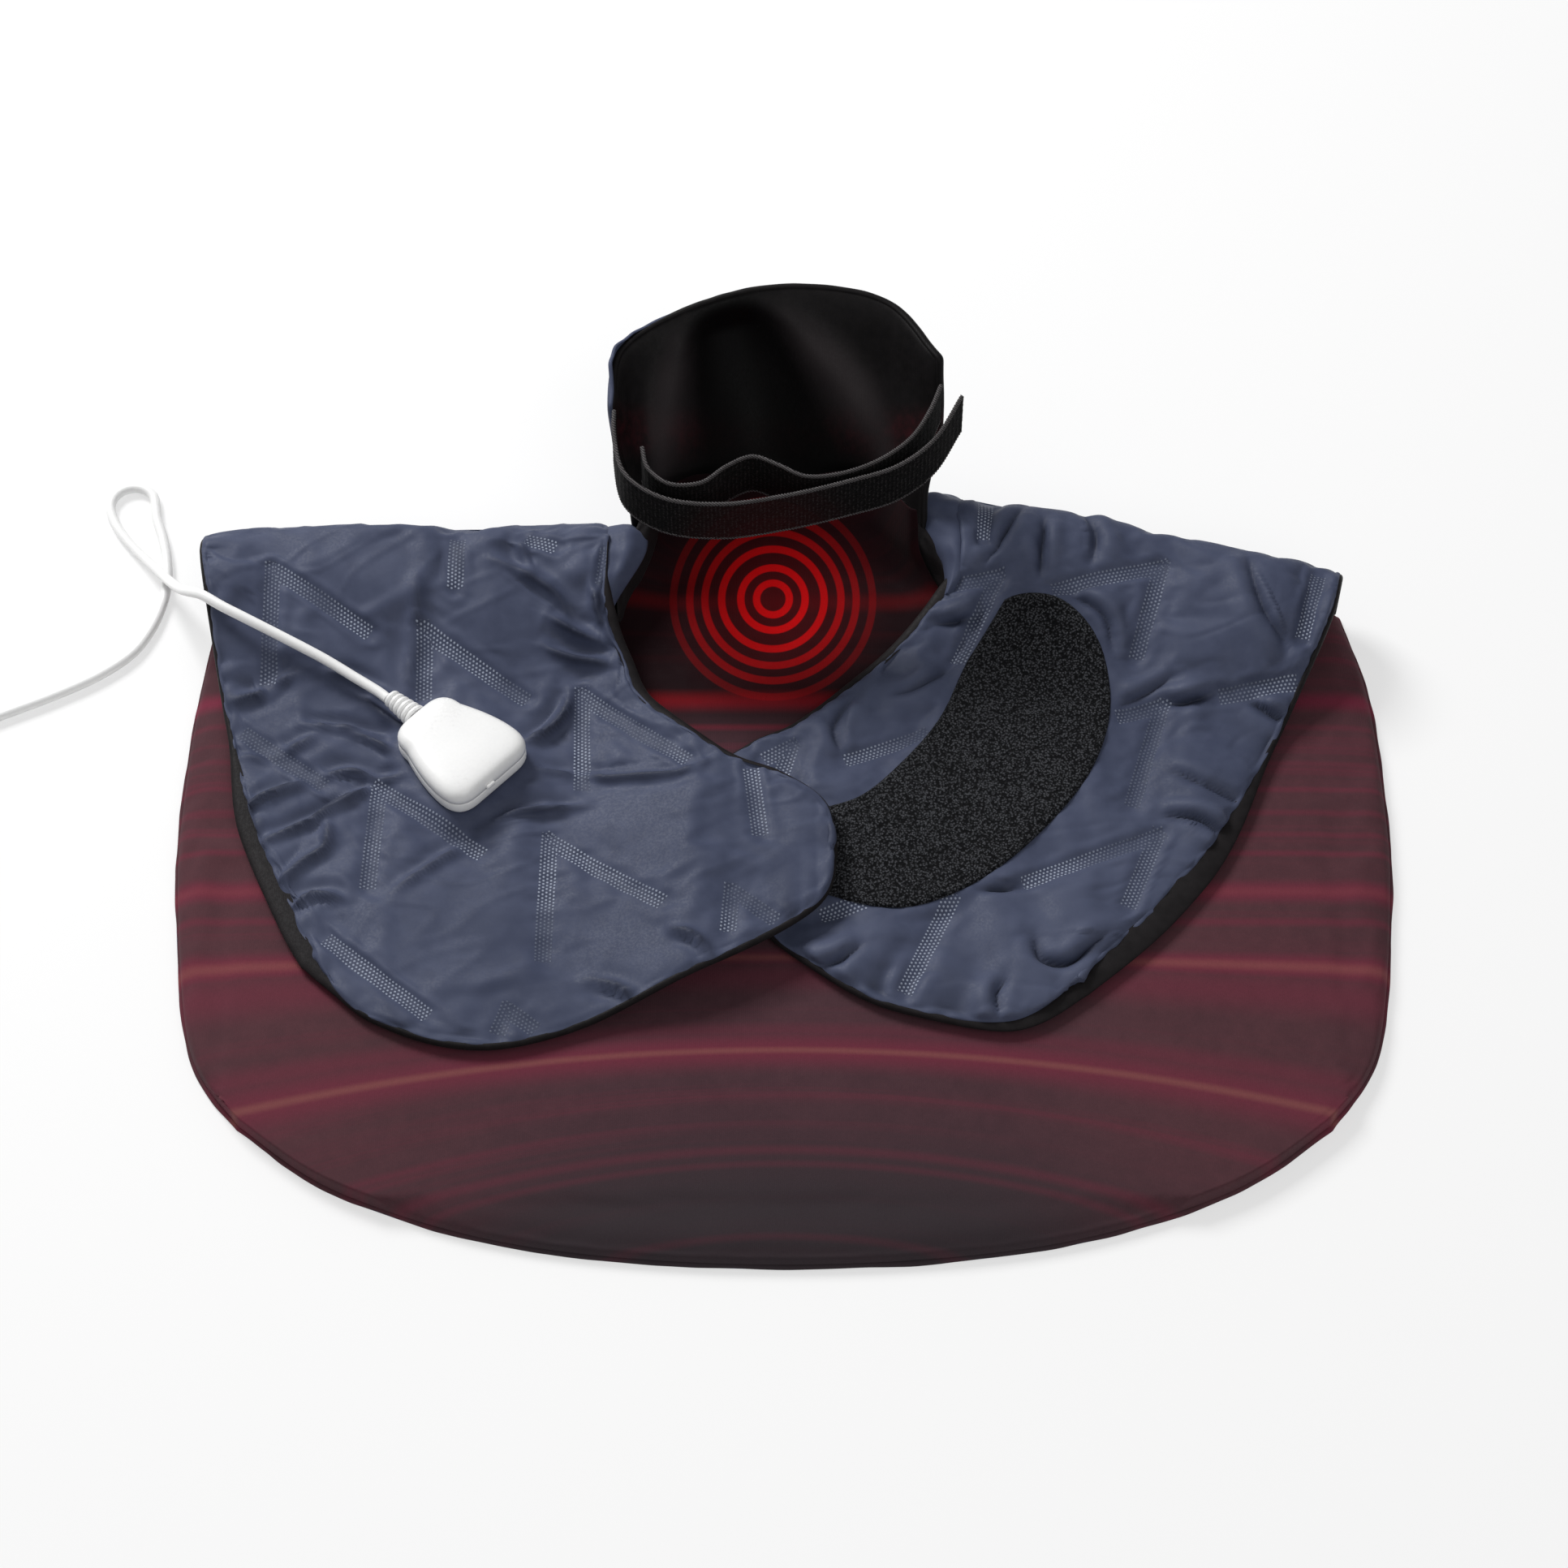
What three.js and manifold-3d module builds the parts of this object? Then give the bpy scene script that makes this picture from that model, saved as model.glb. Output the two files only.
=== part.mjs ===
// Neck heating wrap: a padded back panel, two front flaps folded over it, a standing collar
// with its strap, and a cord with a hand controller and a mains plug.
// Millimetres, +Z up. The origin is the middle of the back panel's underside, X runs to the
// right flap and Y towards the collar.
import * as THREE from 'three';
import { mergeVertices } from 'three/addons/utils/BufferGeometryUtils.js';
import Module from 'manifold-3d';

const wasm = await Module();
wasm.setup();

const { lerp, smoothstep, degToRad } = THREE.MathUtils;
const V3 = (x, y, z) => new THREE.Vector3(x, y, z);
const V2 = (x, y) => new THREE.Vector2(x, y);

// Fabric layers
const fitGap = 0.3;
const fabricThickness = 1.2;
const wireDiameter = 2.2;
const wireRoom = wireDiameter + 2 * fitGap;
const backWadding = 5.2;
const flapWadding = 3.0;
const collarWadding = 4.4;
const sideSlope = 26;
const flapSlope = 18;
const foldSlope = 8;
const seamLevelShare = 0.38;
const slopeShares = [0, 0.3, 1];

// Back panel
const panelWidth = 566;
const panelLength = 386;
const panelInnerColumns = 7;
const panelInnerRows = 5;
const panelHemShares = [[-0.859, 0.179], [-0.689, 0.091], [-0.396, 0.023], [0, 0], [0.396, 0.023],
  [0.689, 0.091], [0.859, 0.179]];
const panelLeftShares = [[0.859, 0.179], [0.947, 0.28], [0.993, 0.495], [1, 0.64], [0.99, 0.8],
  [0.961, 0.974]];
const panelRightShares = [[0.859, 0.179], [0.947, 0.28], [0.993, 0.495], [1, 0.64], [0.99, 0.8],
  [0.955, 0.917]];
const panelFoldShares = [[-0.961, 0.974], [-0.618, 0.984], [-0.297, 0.99], [0, 1.005], [0.247, 1.03],
  [0.6, 0.99], [0.955, 0.917]];

// Front flaps, in their own frames: x along the fold, y negative towards the hem
const foldRadius = 16;
const foldRun = 88;
const foldSteps = 5;
const foldEnd = degToRad(-86);
const flapDepth = 269;
const flapWidth = 200;
const flapInnerColumns = 5;
const flapInnerRows = 7;
const leftFoldShare = [-0.2862, 0.9689];
const leftFoldAngle = degToRad(1.7);
const rightFoldShare = [0.2403, 1.0259];
const rightFoldAngle = degToRad(-14.1);
const leftOuterShares = [[-1, 0], [-0.985, -0.08], [-0.92, -0.35], [-0.84, -0.57], [-0.7, -0.82]];
const leftHemShares = [[-0.7, -0.82], [-0.56, -0.942], [-0.27, -1], [0.155, -0.89], [0.44, -0.77],
  [0.495, -0.66]];
const leftNeckShares = [[-0.02, 0], [-0.025, -0.137], [0.015, -0.235], [0.073, -0.328], [0.245, -0.446],
  [0.375, -0.494], [0.475, -0.56], [0.495, -0.66]];
const rightOuterShares = [[1.02, 0], [1.015, -0.07], [0.98, -0.195], [0.89, -0.475], [0.775, -0.69],
  [0.63, -0.875]];
const rightHemShares = [[0.63, -0.875], [0.5, -0.98], [0.24, -0.998], [0.035, -0.95], [-0.13, -0.88],
  [-0.25, -0.775]];
const rightNeckShares = [[0.08, 0], [0.12, -0.097], [0.095, -0.165], [0.028, -0.265], [-0.06, -0.37],
  [-0.163, -0.475], [-0.25, -0.535], [-0.31, -0.62], [-0.25, -0.775]];
const tongueLiftShares = [-0.12, 0.2];

// Channels pressed into the flaps' shells: most are chevrons, with their point in the middle
const channelWidth = 9;
const channelDepth = 0.6;
const leftChannelShares = [
  [[-0.836, -0.254], [-0.829, -0.045], [-0.594, -0.166]],
  [[-0.383, -0.004], [-0.39, -0.092]],
  [[-0.221, -0.004], [-0.146, -0.017]],
  [[-0.466, -0.289], [-0.464, -0.161], [-0.217, -0.297]],
  [[-0.088, -0.495], [-0.088, -0.287], [0.163, -0.463]],
  [[-0.178, -0.843], [-0.163, -0.595], [0.099, -0.752]],
  [[-0.582, -0.687], [-0.563, -0.477], [-0.317, -0.619]],
  [[-0.895, -0.346], [-0.691, -0.469]],
  [[-0.674, -0.784], [-0.434, -0.944]],
  [[0.245, -0.82], [0.257, -0.736], [0.357, -0.801]],
  [[0.308, -0.481], [0.326, -0.626]],
];
const rightChannelShares = [
  [[0.123, -0.141], [0.22, -0.112], [0.173, -0.281]],
  [[0.353, -0.122], [0.599, -0.034], [0.587, -0.207]],
  [[0.143, -0.004], [0.165, -0.051]],
  [[0.971, -0.004], [0.963, -0.117]],
  [[0.798, -0.245], [0.974, -0.191]],
  [[0.572, -0.327], [0.672, -0.284], [0.658, -0.505]],
  [[0.455, -0.708], [0.732, -0.552], [0.704, -0.713]],
  [[0.152, -0.438], [-0.024, -0.534]],
  [[-0.211, -0.564], [-0.155, -0.526], [-0.159, -0.59]],
  [[0.308, -0.761], [0.259, -0.972]],
  [[0.118, -0.814], [0.023, -0.857]],
];

// Hook and loop patches
const loopPatchThickness = 1.8;
const hookPatchThickness = 1.2;
const patchLength = 185;
const patchShares = [[0.27, -0.23], [0.395, -0.196], [0.52, -0.27], [0.596, -0.435], [0.595, -0.64],
  [0.515, -0.86], [0.376, -1.07], [0.216, -1.184], [0.01, -1.187], [-0.14, -1.14], [-0.17, -1.03],
  [-0.06, -0.95], [0.04, -0.88], [0.117, -0.755], [0.18, -0.6], [0.213, -0.4]];
const hookPatchLength = 70;
const hookPatchWidth = 42;
const hookPatchShare = [0.29, -0.72];
const hookPatchTurn = degToRad(30);

// Collar
const collarHeight = 109.6;
const collarHalf = 82;
const collarBackRise = 4.4;
const collarBaseShares = [[-0.9, 0, 0.11], [-0.62, 0.06, 0.09], [0, 0.09, 0.03], [0.62, 0.07, 0.09],
  [0.94, -0.12, 0.11]];
const collarTopShares = [[-1, 0.3, 0.86], [-0.95, 0.62, 0.92], [-0.56, 0.87, 0.97], [0, 1, 1],
  [0.6, 0.92, 0.97], [0.9, 0.55, 0.94]];
const collarBaseY = 188.5;
const collarLean = 87.5;
const collarColumns = 8;
const collarRows = 3;
const collarSlope = 12;
const collarPleat = 7;
const collarPleatShares = [0.34, 0.5, 0.66];

// Collar strap
const strapWidth = 24;
const strapThickness = 1.8;
const strapOuterShares = [[-0.9829, 0.2194, 0.7901], [-0.9817, 0.0857, 0.781],
  [-0.9146, -0.1886, 0.7628], [-0.6951, -0.3486, 0.7536], [-0.3659, -0.3943, 0.7536],
  [0, -0.3371, 0.7536], [0.3659, -0.2457, 0.7628], [0.6585, -0.1543, 0.781], [0.8659, -0.0171, 0.8266],
  [1.0244, 0.1886, 0.9179]];
const strapInnerShares = [[0.9098, 0.3509, 0.8358], [0.8415, 0.1886, 0.8175], [0.7317, 0.0286, 0.7901],
  [0.5366, -0.1086, 0.7673], [0.3171, -0.1886, 0.7582], [0.122, -0.2, 0.7536],
  [-0.0366, -0.12, 0.7536], [-0.1829, -0.0629, 0.7536], [-0.3293, -0.1314, 0.7536],
  [-0.4756, -0.2457, 0.7536], [-0.6585, -0.2571, 0.7582], [-0.7805, -0.1543, 0.7628],
  [-0.8171, -0.0171, 0.7719]];
const strapSteps = 24;

// Heating wire and its cut-outs
const wireSides = 6;
const backWireHalf = 205;
const backWireFront = -132;
const backWirePitch = 34;
const backWireRuns = 8;
const flapWireHalf = 34;
const flapWirePitch = 22;
const flapWireRuns = 3;
const leftWireShare = [-0.51, -0.55];
const rightWireShare = [0.31, -0.55];
const turnSteps = 5;
const cutOutDiameter = 12;
const cutOutThickness = 2.2;
const cutOutOffset = 110;

// Connector on the left flap
const connectorShare = [-0.38, -0.424];
const connectorTurn = degToRad(-44);
const connectorLength = 54;
const connectorHeadWidth = 50;
const connectorNeckWidth = 36;
const connectorCorner = 12;
const connectorBaseHeight = 6.4;
const connectorCoverHeight = 8;
const connectorBevel = 3;
const connectorLift = 1.8;
const nubWidth = 5;
const nubDepth = 2.4;
const nubHeight = 2;
const bootLength = 18;
const bootRootDiameter = 12;
const bootTipDiameter = 8.5;
const bootRibs = 5;
const bootRibDepth = 1.2;
const bootSocketDepth = 4;
const bootSocketDiameter = 7;
const backingPlateDiameter = 36;
const backingPlateThickness = 1.2;
const roundSides = 12;
const reliefSides = 8;

// Cords, with the places that each run passes
const cordDiameter = 5;
const cordSides = 8;
const cordStep = 12;
const coilSides = 6;
const coilSteps = 20;
const coilPitch = 5.7;
const cordRest = 0.4;
const controlCoilRadius = 28;
const controlCoilTurns = 3.75;
const controlCoilPlace = V2(-442, 118);
const controlCoilStart = degToRad(-90);
const mainsCoilRadius = 30;
const mainsCoilTurns = 6;
const mainsCoilPlace = V2(-528, -20);
const mainsCoilStart = 0;
const cordFlapRoute = [V3(-187.9, 94.4, 27.3), V3(-192, 98, 27.4), V3(-204, 106, 28.4),
  V3(-218.5, 115, 30.6), V3(-238.3, 125, 34.4), V3(-258.2, 134.6, 38.2), V3(-269, 140.4, 39.4),
  V3(-278.7, 147.2, 39.1), V3(-283, 150.5, 36.6)];
const cordFloorRoute = [V3(-283.8, 151.15, 35.9), V3(-287, 154, 33.2), V3(-291.6, 160.6, 26.2),
  V3(-297.4, 170, 18), V3(-304.6, 181.4, 10.6), V3(-312, 191.6, 6.2), V3(-319.2, 200.6, 3.7),
  V3(-325.4, 208.4, 2.9), V3(-331.6, 217.6, 2.9), V3(-335.4, 226, 2.9), V3(-336.4, 232, 2.9),
  V3(-334.9, 237.6, 2.9), V3(-330.8, 241.7, 2.9), V3(-325.2, 243.2, 2.9), V3(-319.6, 241.7, 2.9),
  V3(-315.5, 237.6, 2.9), V3(-314, 232, 2.9), V3(-312.6, 223.6, 2.9), V3(-308, 209.5, 2.9),
  V3(-304.7, 195, 2.9), V3(-303.6, 181, 2.9), V3(-304.9, 169, 2.9), V3(-308.5, 155, 2.9),
  V3(-316, 140, 2.9), V3(-330, 127, 2.9), V3(-348, 116, 2.9), V3(-370, 105, 2.9), V3(-392, 95, 2.9),
  V3(-410, 88.5, 2.9), V3(-424, 85.3, 2.9), V3(-436.6, 84.66, 2.9)];
const controlLeadRoute = [V3(-408.66, 112.6, 8.6), V3(-409, 100, 8.8), V3(-411, 88, 9.1),
  V3(-415, 76, 9.2), V3(-420, 66, 9.15), V3(-423.3, 58, 9.15), V3(-424, 51.7, 9.15)];
const mainsLeadRoute = [V3(-424, -115.7, 9.15), V3(-424, -123, 8.6), V3(-427, -135, 6),
  V3(-435, -146, 3.4), V3(-448, -152, 2.9), V3(-463, -150, 2.9), V3(-476, -139, 2.9),
  V3(-484.6, -122, 2.9), V3(-488.4, -100, 2.9), V3(-489.45, -75, 2.9), V3(-489.45, -50, 2.9),
  V3(-489.45, -25.4, 2.9)];
const mainsTailRoute = [V3(-489.45, -14.6, 8.6), V3(-489.45, -7, 8.4), V3(-489.45, 0.3, 8)];

// Hand controller on the cord
const controllerLength = 126;
const controllerWidth = 46;
const controllerHeight = 19;
const controllerSplit = 9;
const controllerCorner = 13;
const controllerBevel = 3;
const controllerWall = 2;
const controllerPlace = V2(-424, -32);
const windowLength = 30;
const windowWidth = 17;
const windowThickness = 1.1;
const windowOffset = 36;
const windowLedge = 2;
const buttonDiameter = 11;
const buttonTravel = 1;
const buttonPitch = 20;
const buttonOffset = -12;
const buttonProud = 1.3;
const buttonSkirt = 1.1;
const buttonSkirtHeight = 1.2;
const buttonStem = 4;
const switchHeight = 4.4;
const switchDiameter = 6;
const boardLength = 90;
const boardWidth = 36;
const boardThickness = 1.6;
const boardFoot = 7;
const postDiameter = 5;
const postSpacingX = 76;
const postSpacingY = 24;
const bossDiameter = 7;
const bossInsetX = 10;
const bossInsetY = 10.5;
const screwShank = 2.4;
const screwClearance = 0.4;
const screwHead = 5;
const screwHeadHeight = 1.8;
const screwReach = 14;
const screwSides = 8;
const reliefLength = 20;
const reliefRoot = 9;
const reliefTip = 7;
const reliefPlug = 6;
const reliefPlugDepth = 1.7;
const reliefRibs = 4;
const reliefRibDepth = 1;

// Mains plug
const plugLength = 30;
const plugShoulder = 10;
const plugWidth = 25;
const plugTailWidth = 13;
const plugHeight = 16;
const plugBevel = 2;
const plugReliefLength = 20;
const bladeLength = 17;
const bladeWidth = 6.3;
const bladeThickness = 1.5;
const bladeSpacing = 12.7;
const bladeHole = 3;
const bladeHoleInset = 3.5;
const bladeSeat = 2;

const cutOverrun = 2;
const arcSteps = 3;
const outlineSteps = 4;

const shellBlue = new THREE.MeshStandardMaterial({ color: 0x46536a, roughness: 0.55, metalness: 0 });
const liningMaroon = new THREE.MeshStandardMaterial({ color: 0x3d1f26, roughness: 0.85, metalness: 0 });
const liningBlack = new THREE.MeshStandardMaterial({ color: 0x1d1c1f, roughness: 0.9, metalness: 0 });
const waddingWhite = new THREE.MeshStandardMaterial({ color: 0xe9e7e0, roughness: 1, metalness: 0 });
const hookBlack = new THREE.MeshStandardMaterial({ color: 0x17171a, roughness: 0.95, metalness: 0 });
const plasticWhite = new THREE.MeshStandardMaterial({ color: 0xf4f4f2, roughness: 0.3, metalness: 0 });
const cordWhite = new THREE.MeshStandardMaterial({ color: 0xf1f1ef, roughness: 0.45, metalness: 0 });
const windowDark = new THREE.MeshStandardMaterial({ color: 0x1a1c22, roughness: 0.1, metalness: 0 });
const boardGreen = new THREE.MeshStandardMaterial({ color: 0x2e6b45, roughness: 0.6, metalness: 0 });
const wireRed = new THREE.MeshStandardMaterial({ color: 0xa3382f, roughness: 0.6, metalness: 0 });
const steel = new THREE.MeshStandardMaterial({ color: 0xb9bcc0, roughness: 0.3, metalness: 1 });

const flapThickness = 2 * fabricThickness + flapWadding + wireRoom + fitGap;
const seamThickness = 2 * fabricThickness + fitGap;
const backThickness = 2 * fabricThickness + backWadding + wireRoom + fitGap;
const flapRest = backThickness + fitGap;
const foldAxisHeight = flapRest + foldRadius;
const tongueLift = loopPatchThickness + hookPatchThickness + flapThickness + 4 * fitGap;

// Places given as shares of the back panel, or of a flap in its own frame
const onPanel = ([x, y]) => V2(x * panelWidth / 2, (y - 1 / 2) * panelLength);
const onFlap = ([x, y]) => V2(x * flapWidth, y * flapDepth);
const leftFold = onPanel(leftFoldShare);
const rightFold = onPanel(rightFoldShare);
const connectorPlace = onFlap(connectorShare);

// Solids

function meshOf(name, geometry, material) {
  const mesh = new THREE.Mesh(geometry, material);
  mesh.name = name;
  return mesh;
}

function solidOf(geometry) {
  const bare = geometry.clone();
  bare.deleteAttribute('normal');
  bare.deleteAttribute('uv');
  const merged = mergeVertices(bare);
  return new wasm.Manifold(new wasm.Mesh({
    numProp: 3,
    vertProperties: merged.attributes.position.array,
    triVerts: new Uint32Array(merged.index.array),
  }));
}

function geometryOf(solid) {
  const made = solid.getMesh();
  const geometry = new THREE.BufferGeometry();
  geometry.setAttribute('position', new THREE.BufferAttribute(made.vertProperties, made.numProp));
  geometry.setIndex(new THREE.BufferAttribute(made.triVerts, 1));
  const flat = geometry.toNonIndexed();
  flat.computeVertexNormals();
  return flat;
}

function volumeOf(points, faces) {
  return faces.reduce((sum, [a, b, c]) => sum + points[a].dot(points[b].clone().cross(points[c])), 0);
}

function bodyOf(points, faces) {
  const outward = volumeOf(points, faces) > 0;
  const geometry = new THREE.BufferGeometry().setFromPoints(points);
  geometry.setIndex(faces.flatMap(([a, b, c]) => (outward ? [a, b, c] : [a, c, b])));
  const flat = geometry.toNonIndexed();
  flat.computeVertexNormals();
  return flat;
}

// A sheet between an upper and a lower grid of points, stitched round its border.
function closedSheet(upper, lower) {
  const rows = upper.length - 1;
  const columns = upper[0].length - 1;
  const points = [...upper.flat(), ...lower.flat()];
  const base = (rows + 1) * (columns + 1);
  const at = (i, j) => i * (columns + 1) + j;
  const faces = [];
  for (let i = 0; i < rows; i += 1) {
    for (let j = 0; j < columns; j += 1) {
      faces.push([at(i, j), at(i, j + 1), at(i + 1, j + 1)]);
      faces.push([at(i, j), at(i + 1, j + 1), at(i + 1, j)]);
      faces.push([base + at(i, j), base + at(i + 1, j + 1), base + at(i, j + 1)]);
      faces.push([base + at(i, j), base + at(i + 1, j), base + at(i + 1, j + 1)]);
    }
  }
  const border = [];
  for (let j = 0; j < columns; j += 1) border.push(at(0, j));
  for (let i = 0; i < rows; i += 1) border.push(at(i, columns));
  for (let j = columns; j > 0; j -= 1) border.push(at(rows, j));
  for (let i = rows; i > 0; i -= 1) border.push(at(i, 0));
  border.forEach((a, k) => {
    const b = border[(k + 1) % border.length];
    faces.push([a, base + b, b]);
    faces.push([a, base + a, base + b]);
  });
  return bodyOf(points, faces);
}

// A tube of a round section along a list of points.
function tube(points, diameter, sides) {
  const rings = points.map((point, k) => {
    const before = points[Math.max(k - 1, 0)];
    const after = points[Math.min(k + 1, points.length - 1)];
    const along = after.clone().sub(before).normalize();
    const across = along.clone().cross(V3(0, 0, 1)).normalize();
    const over = across.clone().cross(along);
    return Array.from({ length: sides }, (_, s) => {
      const angle = (s + 1 / 2) * 2 * Math.PI / sides;
      return point.clone()
        .addScaledVector(across, Math.cos(angle) * diameter / 2)
        .addScaledVector(over, Math.sin(angle) * diameter / 2);
    });
  });
  const faces = [];
  for (let k = 0; k < rings.length - 1; k += 1) {
    for (let s = 0; s < sides; s += 1) {
      const next = (s + 1) % sides;
      faces.push([k * sides + s, k * sides + next, (k + 1) * sides + next]);
      faces.push([k * sides + s, (k + 1) * sides + next, (k + 1) * sides + s]);
    }
  }
  const last = (rings.length - 1) * sides;
  for (let s = 1; s < sides - 1; s += 1) {
    faces.push([0, s + 1, s]);
    faces.push([last, last + s, last + s + 1]);
  }
  return bodyOf(rings.flat(), faces);
}

function prism(outline, height, bevel = 0) {
  return new THREE.ExtrudeGeometry(new THREE.Shape(outline), {
    depth: height - 2 * bevel,
    bevelEnabled: bevel > 0,
    bevelThickness: bevel,
    bevelSize: bevel,
    bevelOffset: -bevel,
    bevelSegments: 1,
  }).translate(0, 0, bevel);
}

function disc(diameter, height, sides = roundSides) {
  return new THREE.CylinderGeometry(diameter / 2, diameter / 2, height, sides)
    .rotateX(Math.PI / 2)
    .translate(0, 0, height / 2);
}

// A rectangle with round corners, about the origin.
function roundedBox(length, width, corner) {
  const outline = [];
  const places = [[1, 1], [-1, 1], [-1, -1], [1, -1]];
  places.forEach(([sx, sy], quarter) => {
    for (let k = 0; k <= arcSteps; k += 1) {
      const angle = (quarter + k / arcSteps) * Math.PI / 2;
      outline.push(V2(
        sx * (length / 2 - corner) + Math.cos(angle) * corner,
        sy * (width / 2 - corner) + Math.sin(angle) * corner,
      ));
    }
  });
  return outline;
}

// Padded fabric

// Stations along a run: close together on the slopes at its ends, even between them.
function stations(length, firstSlope, lastSlope, inner) {
  const first = slopeShares.map((share) => share * firstSlope / length);
  const last = slopeShares.map((share) => 1 - share * lastSlope / length).reverse();
  const start = first.at(-1);
  const middle = Array.from({ length: inner - 1 }, (_, k) => lerp(start, last[0], (k + 1) / inner));
  return [...first, ...middle, ...last];
}

// How far the padding has swollen at a distance from its seam, from 0 to 1.
function swell(distance, slope) {
  const left = 1 - Math.min(1, Math.max(0, distance / slope));
  return Math.sqrt(1 - left * left);
}

function curveThrough(shares, width, length) {
  return new THREE.SplineCurve(shares.map(([x, y]) => V2(x * width, y * length)));
}

// A four-sided patch: u runs across from the first side to the second, v from the hem to the fold.
function patchPoint(hem, fold, first, second, u, v) {
  const a = hem.getPoint(u).multiplyScalar(1 - v).add(fold.getPoint(u).multiplyScalar(v));
  const b = first.getPoint(v).multiplyScalar(1 - u).add(second.getPoint(v).multiplyScalar(u));
  const c = hem.getPoint(0).multiplyScalar((1 - u) * (1 - v))
    .add(hem.getPoint(1).multiplyScalar(u * (1 - v)))
    .add(fold.getPoint(0).multiplyScalar((1 - u) * v))
    .add(fold.getPoint(1).multiplyScalar(u * v));
  return a.add(b).sub(c);
}

// Cuts the border cells from a grid of pairs, so that what lies inside stops short of the seam.
function trimmed(grid, count, keepEnd) {
  const last = grid.length - (keepEnd ? 0 : count);
  return grid.slice(count, last).map((row) => row.slice(count, row.length - count));
}

function layer(grid, from, to) {
  return closedSheet(grid.map((row) => row.map(to)), grid.map((row) => row.map(from)));
}

// Each cell holds its place, the direction of its thickness, and the lower and upper reach.
function levelOf(height) {
  return (cell) => cell.place.clone().addScaledVector(cell.normal, height(cell));
}

const shellOuter = levelOf((cell) => cell.upper);
const shellInner = levelOf((cell) => cell.upper - fabricThickness);
const waddingTop = levelOf((cell) => cell.upper - fabricThickness - fitGap);
const waddingFoot = levelOf((cell) => cell.lower + fabricThickness + wireRoom);
const liningInner = levelOf((cell) => cell.lower + fabricThickness);
const liningOuter = levelOf((cell) => cell.lower);

// Back panel: the shell lies flat on the floor and the lining faces up.
function backGrid() {
  const toPanel = (shares, side) => new THREE.SplineCurve(shares.map(([x, y]) => onPanel([side * x, y])));
  const hem = toPanel(panelHemShares, 1);
  const fold = toPanel(panelFoldShares, 1);
  const left = toPanel(panelLeftShares, -1);
  const right = toPanel(panelRightShares, 1);
  const across = stations(panelWidth, sideSlope, sideSlope, panelInnerColumns);
  const along = stations(panelLength, sideSlope, foldSlope, panelInnerRows);
  return along.map((v) => across.map((u) => {
    const spot = patchPoint(hem, fold, left, right, u, v);
    const side = swell(Math.min(u, 1 - u) * panelWidth, sideSlope);
    const front = swell(v * panelLength, sideSlope);
    const back = swell((1 - v) * panelLength, foldSlope);
    const thickness = lerp(seamThickness, backThickness, side * front * back);
    return { place: V3(spot.x, spot.y, 0), normal: V3(0, 0, 1), lower: 0, upper: thickness };
  }));
}

const back = backGrid();
const backShellTop = levelOf(() => fabricThickness);
const backWaddingFoot = levelOf(() => fabricThickness + fitGap);
const backWaddingTop = levelOf((cell) => cell.upper - fabricThickness - wireRoom);

function backPanel() {
  const inner = trimmed(back, 1, false);
  return [
    meshOf('back_shell', layer(back, liningOuter, backShellTop), shellBlue),
    meshOf('back_wadding', layer(inner, backWaddingFoot, backWaddingTop), waddingWhite),
    meshOf('back_lining', layer(back, shellInner, shellOuter), liningMaroon),
  ];
}

// Flap: a fold that turns up and over the back panel, then a pad that runs down onto the lining.
function flapGrid(outerShares, hemShares, neckShares, lift) {
  const hem = curveThrough(hemShares, flapWidth, flapDepth);
  const outer = curveThrough([...outerShares].reverse(), flapWidth, flapDepth);
  const neck = curveThrough([...neckShares].reverse(), flapWidth, flapDepth);
  const fold = new THREE.SplineCurve([outer.getPoint(1), neck.getPoint(1)]);
  const across = stations(flapWidth, flapSlope, flapSlope, flapInnerColumns);
  const along = stations(flapDepth, flapSlope, 0, flapInnerRows).slice(0, -slopeShares.length);
  const cellAt = (u, place, normal, front) => {
    const swollen = swell(Math.min(u, 1 - u) * flapWidth, flapSlope) * front;
    const spare = (flapThickness - seamThickness) * (1 - swollen);
    const lower = seamLevelShare * spare;
    return { place, normal, lower, upper: lower + flapThickness - spare };
  };
  const pad = along.map((v) => across.map((u) => {
    const spot = patchPoint(hem, fold, outer, neck, u, v);
    const fall = smoothstep(-spot.y, 0, foldRun);
    const level = foldAxisHeight + foldRadius - flapThickness;
    const height = lerp(level, flapRest, fall) + lift(spot);
    return cellAt(u, V3(spot.x, spot.y, height), V3(0, 0, 1), swell(v * flapDepth, flapSlope));
  }));
  const turn = Array.from({ length: foldSteps + 1 }, (_, k) => {
    const angle = lerp(Math.PI / 2, foldEnd, k / foldSteps);
    const normal = V3(0, Math.cos(angle), Math.sin(angle));
    return across.map((u) => {
      const x = fold.getPoint(u).x;
      const place = V3(x, 0, foldAxisHeight).addScaledVector(normal, foldRadius - flapThickness);
      return cellAt(u, place, normal, 1);
    });
  });
  return [...pad, ...turn];
}

// The outline of a channel: a strip along its corners, blunt where it turns.
function channelOutline(corners) {
  const sideOf = (way) => corners.map((corner, k) => {
    const into = k ? corner.clone().sub(corners[k - 1]).normalize() : V2(0, 0);
    const out = k < corners.length - 1 ? corners[k + 1].clone().sub(corner).normalize() : V2(0, 0);
    const along = into.clone().add(out).normalize();
    const lead = k ? into : out;
    const reach = Math.min(channelWidth / 2 / along.dot(lead), channelWidth);
    return corner.clone().addScaledVector(V2(-along.y, along.x), way * reach);
  });
  return [...sideOf(1), ...sideOf(-1).reverse()];
}

// The pad of a flap without its fold
function padOf(grid) {
  return grid.slice(0, grid.length - foldSteps);
}

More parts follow.
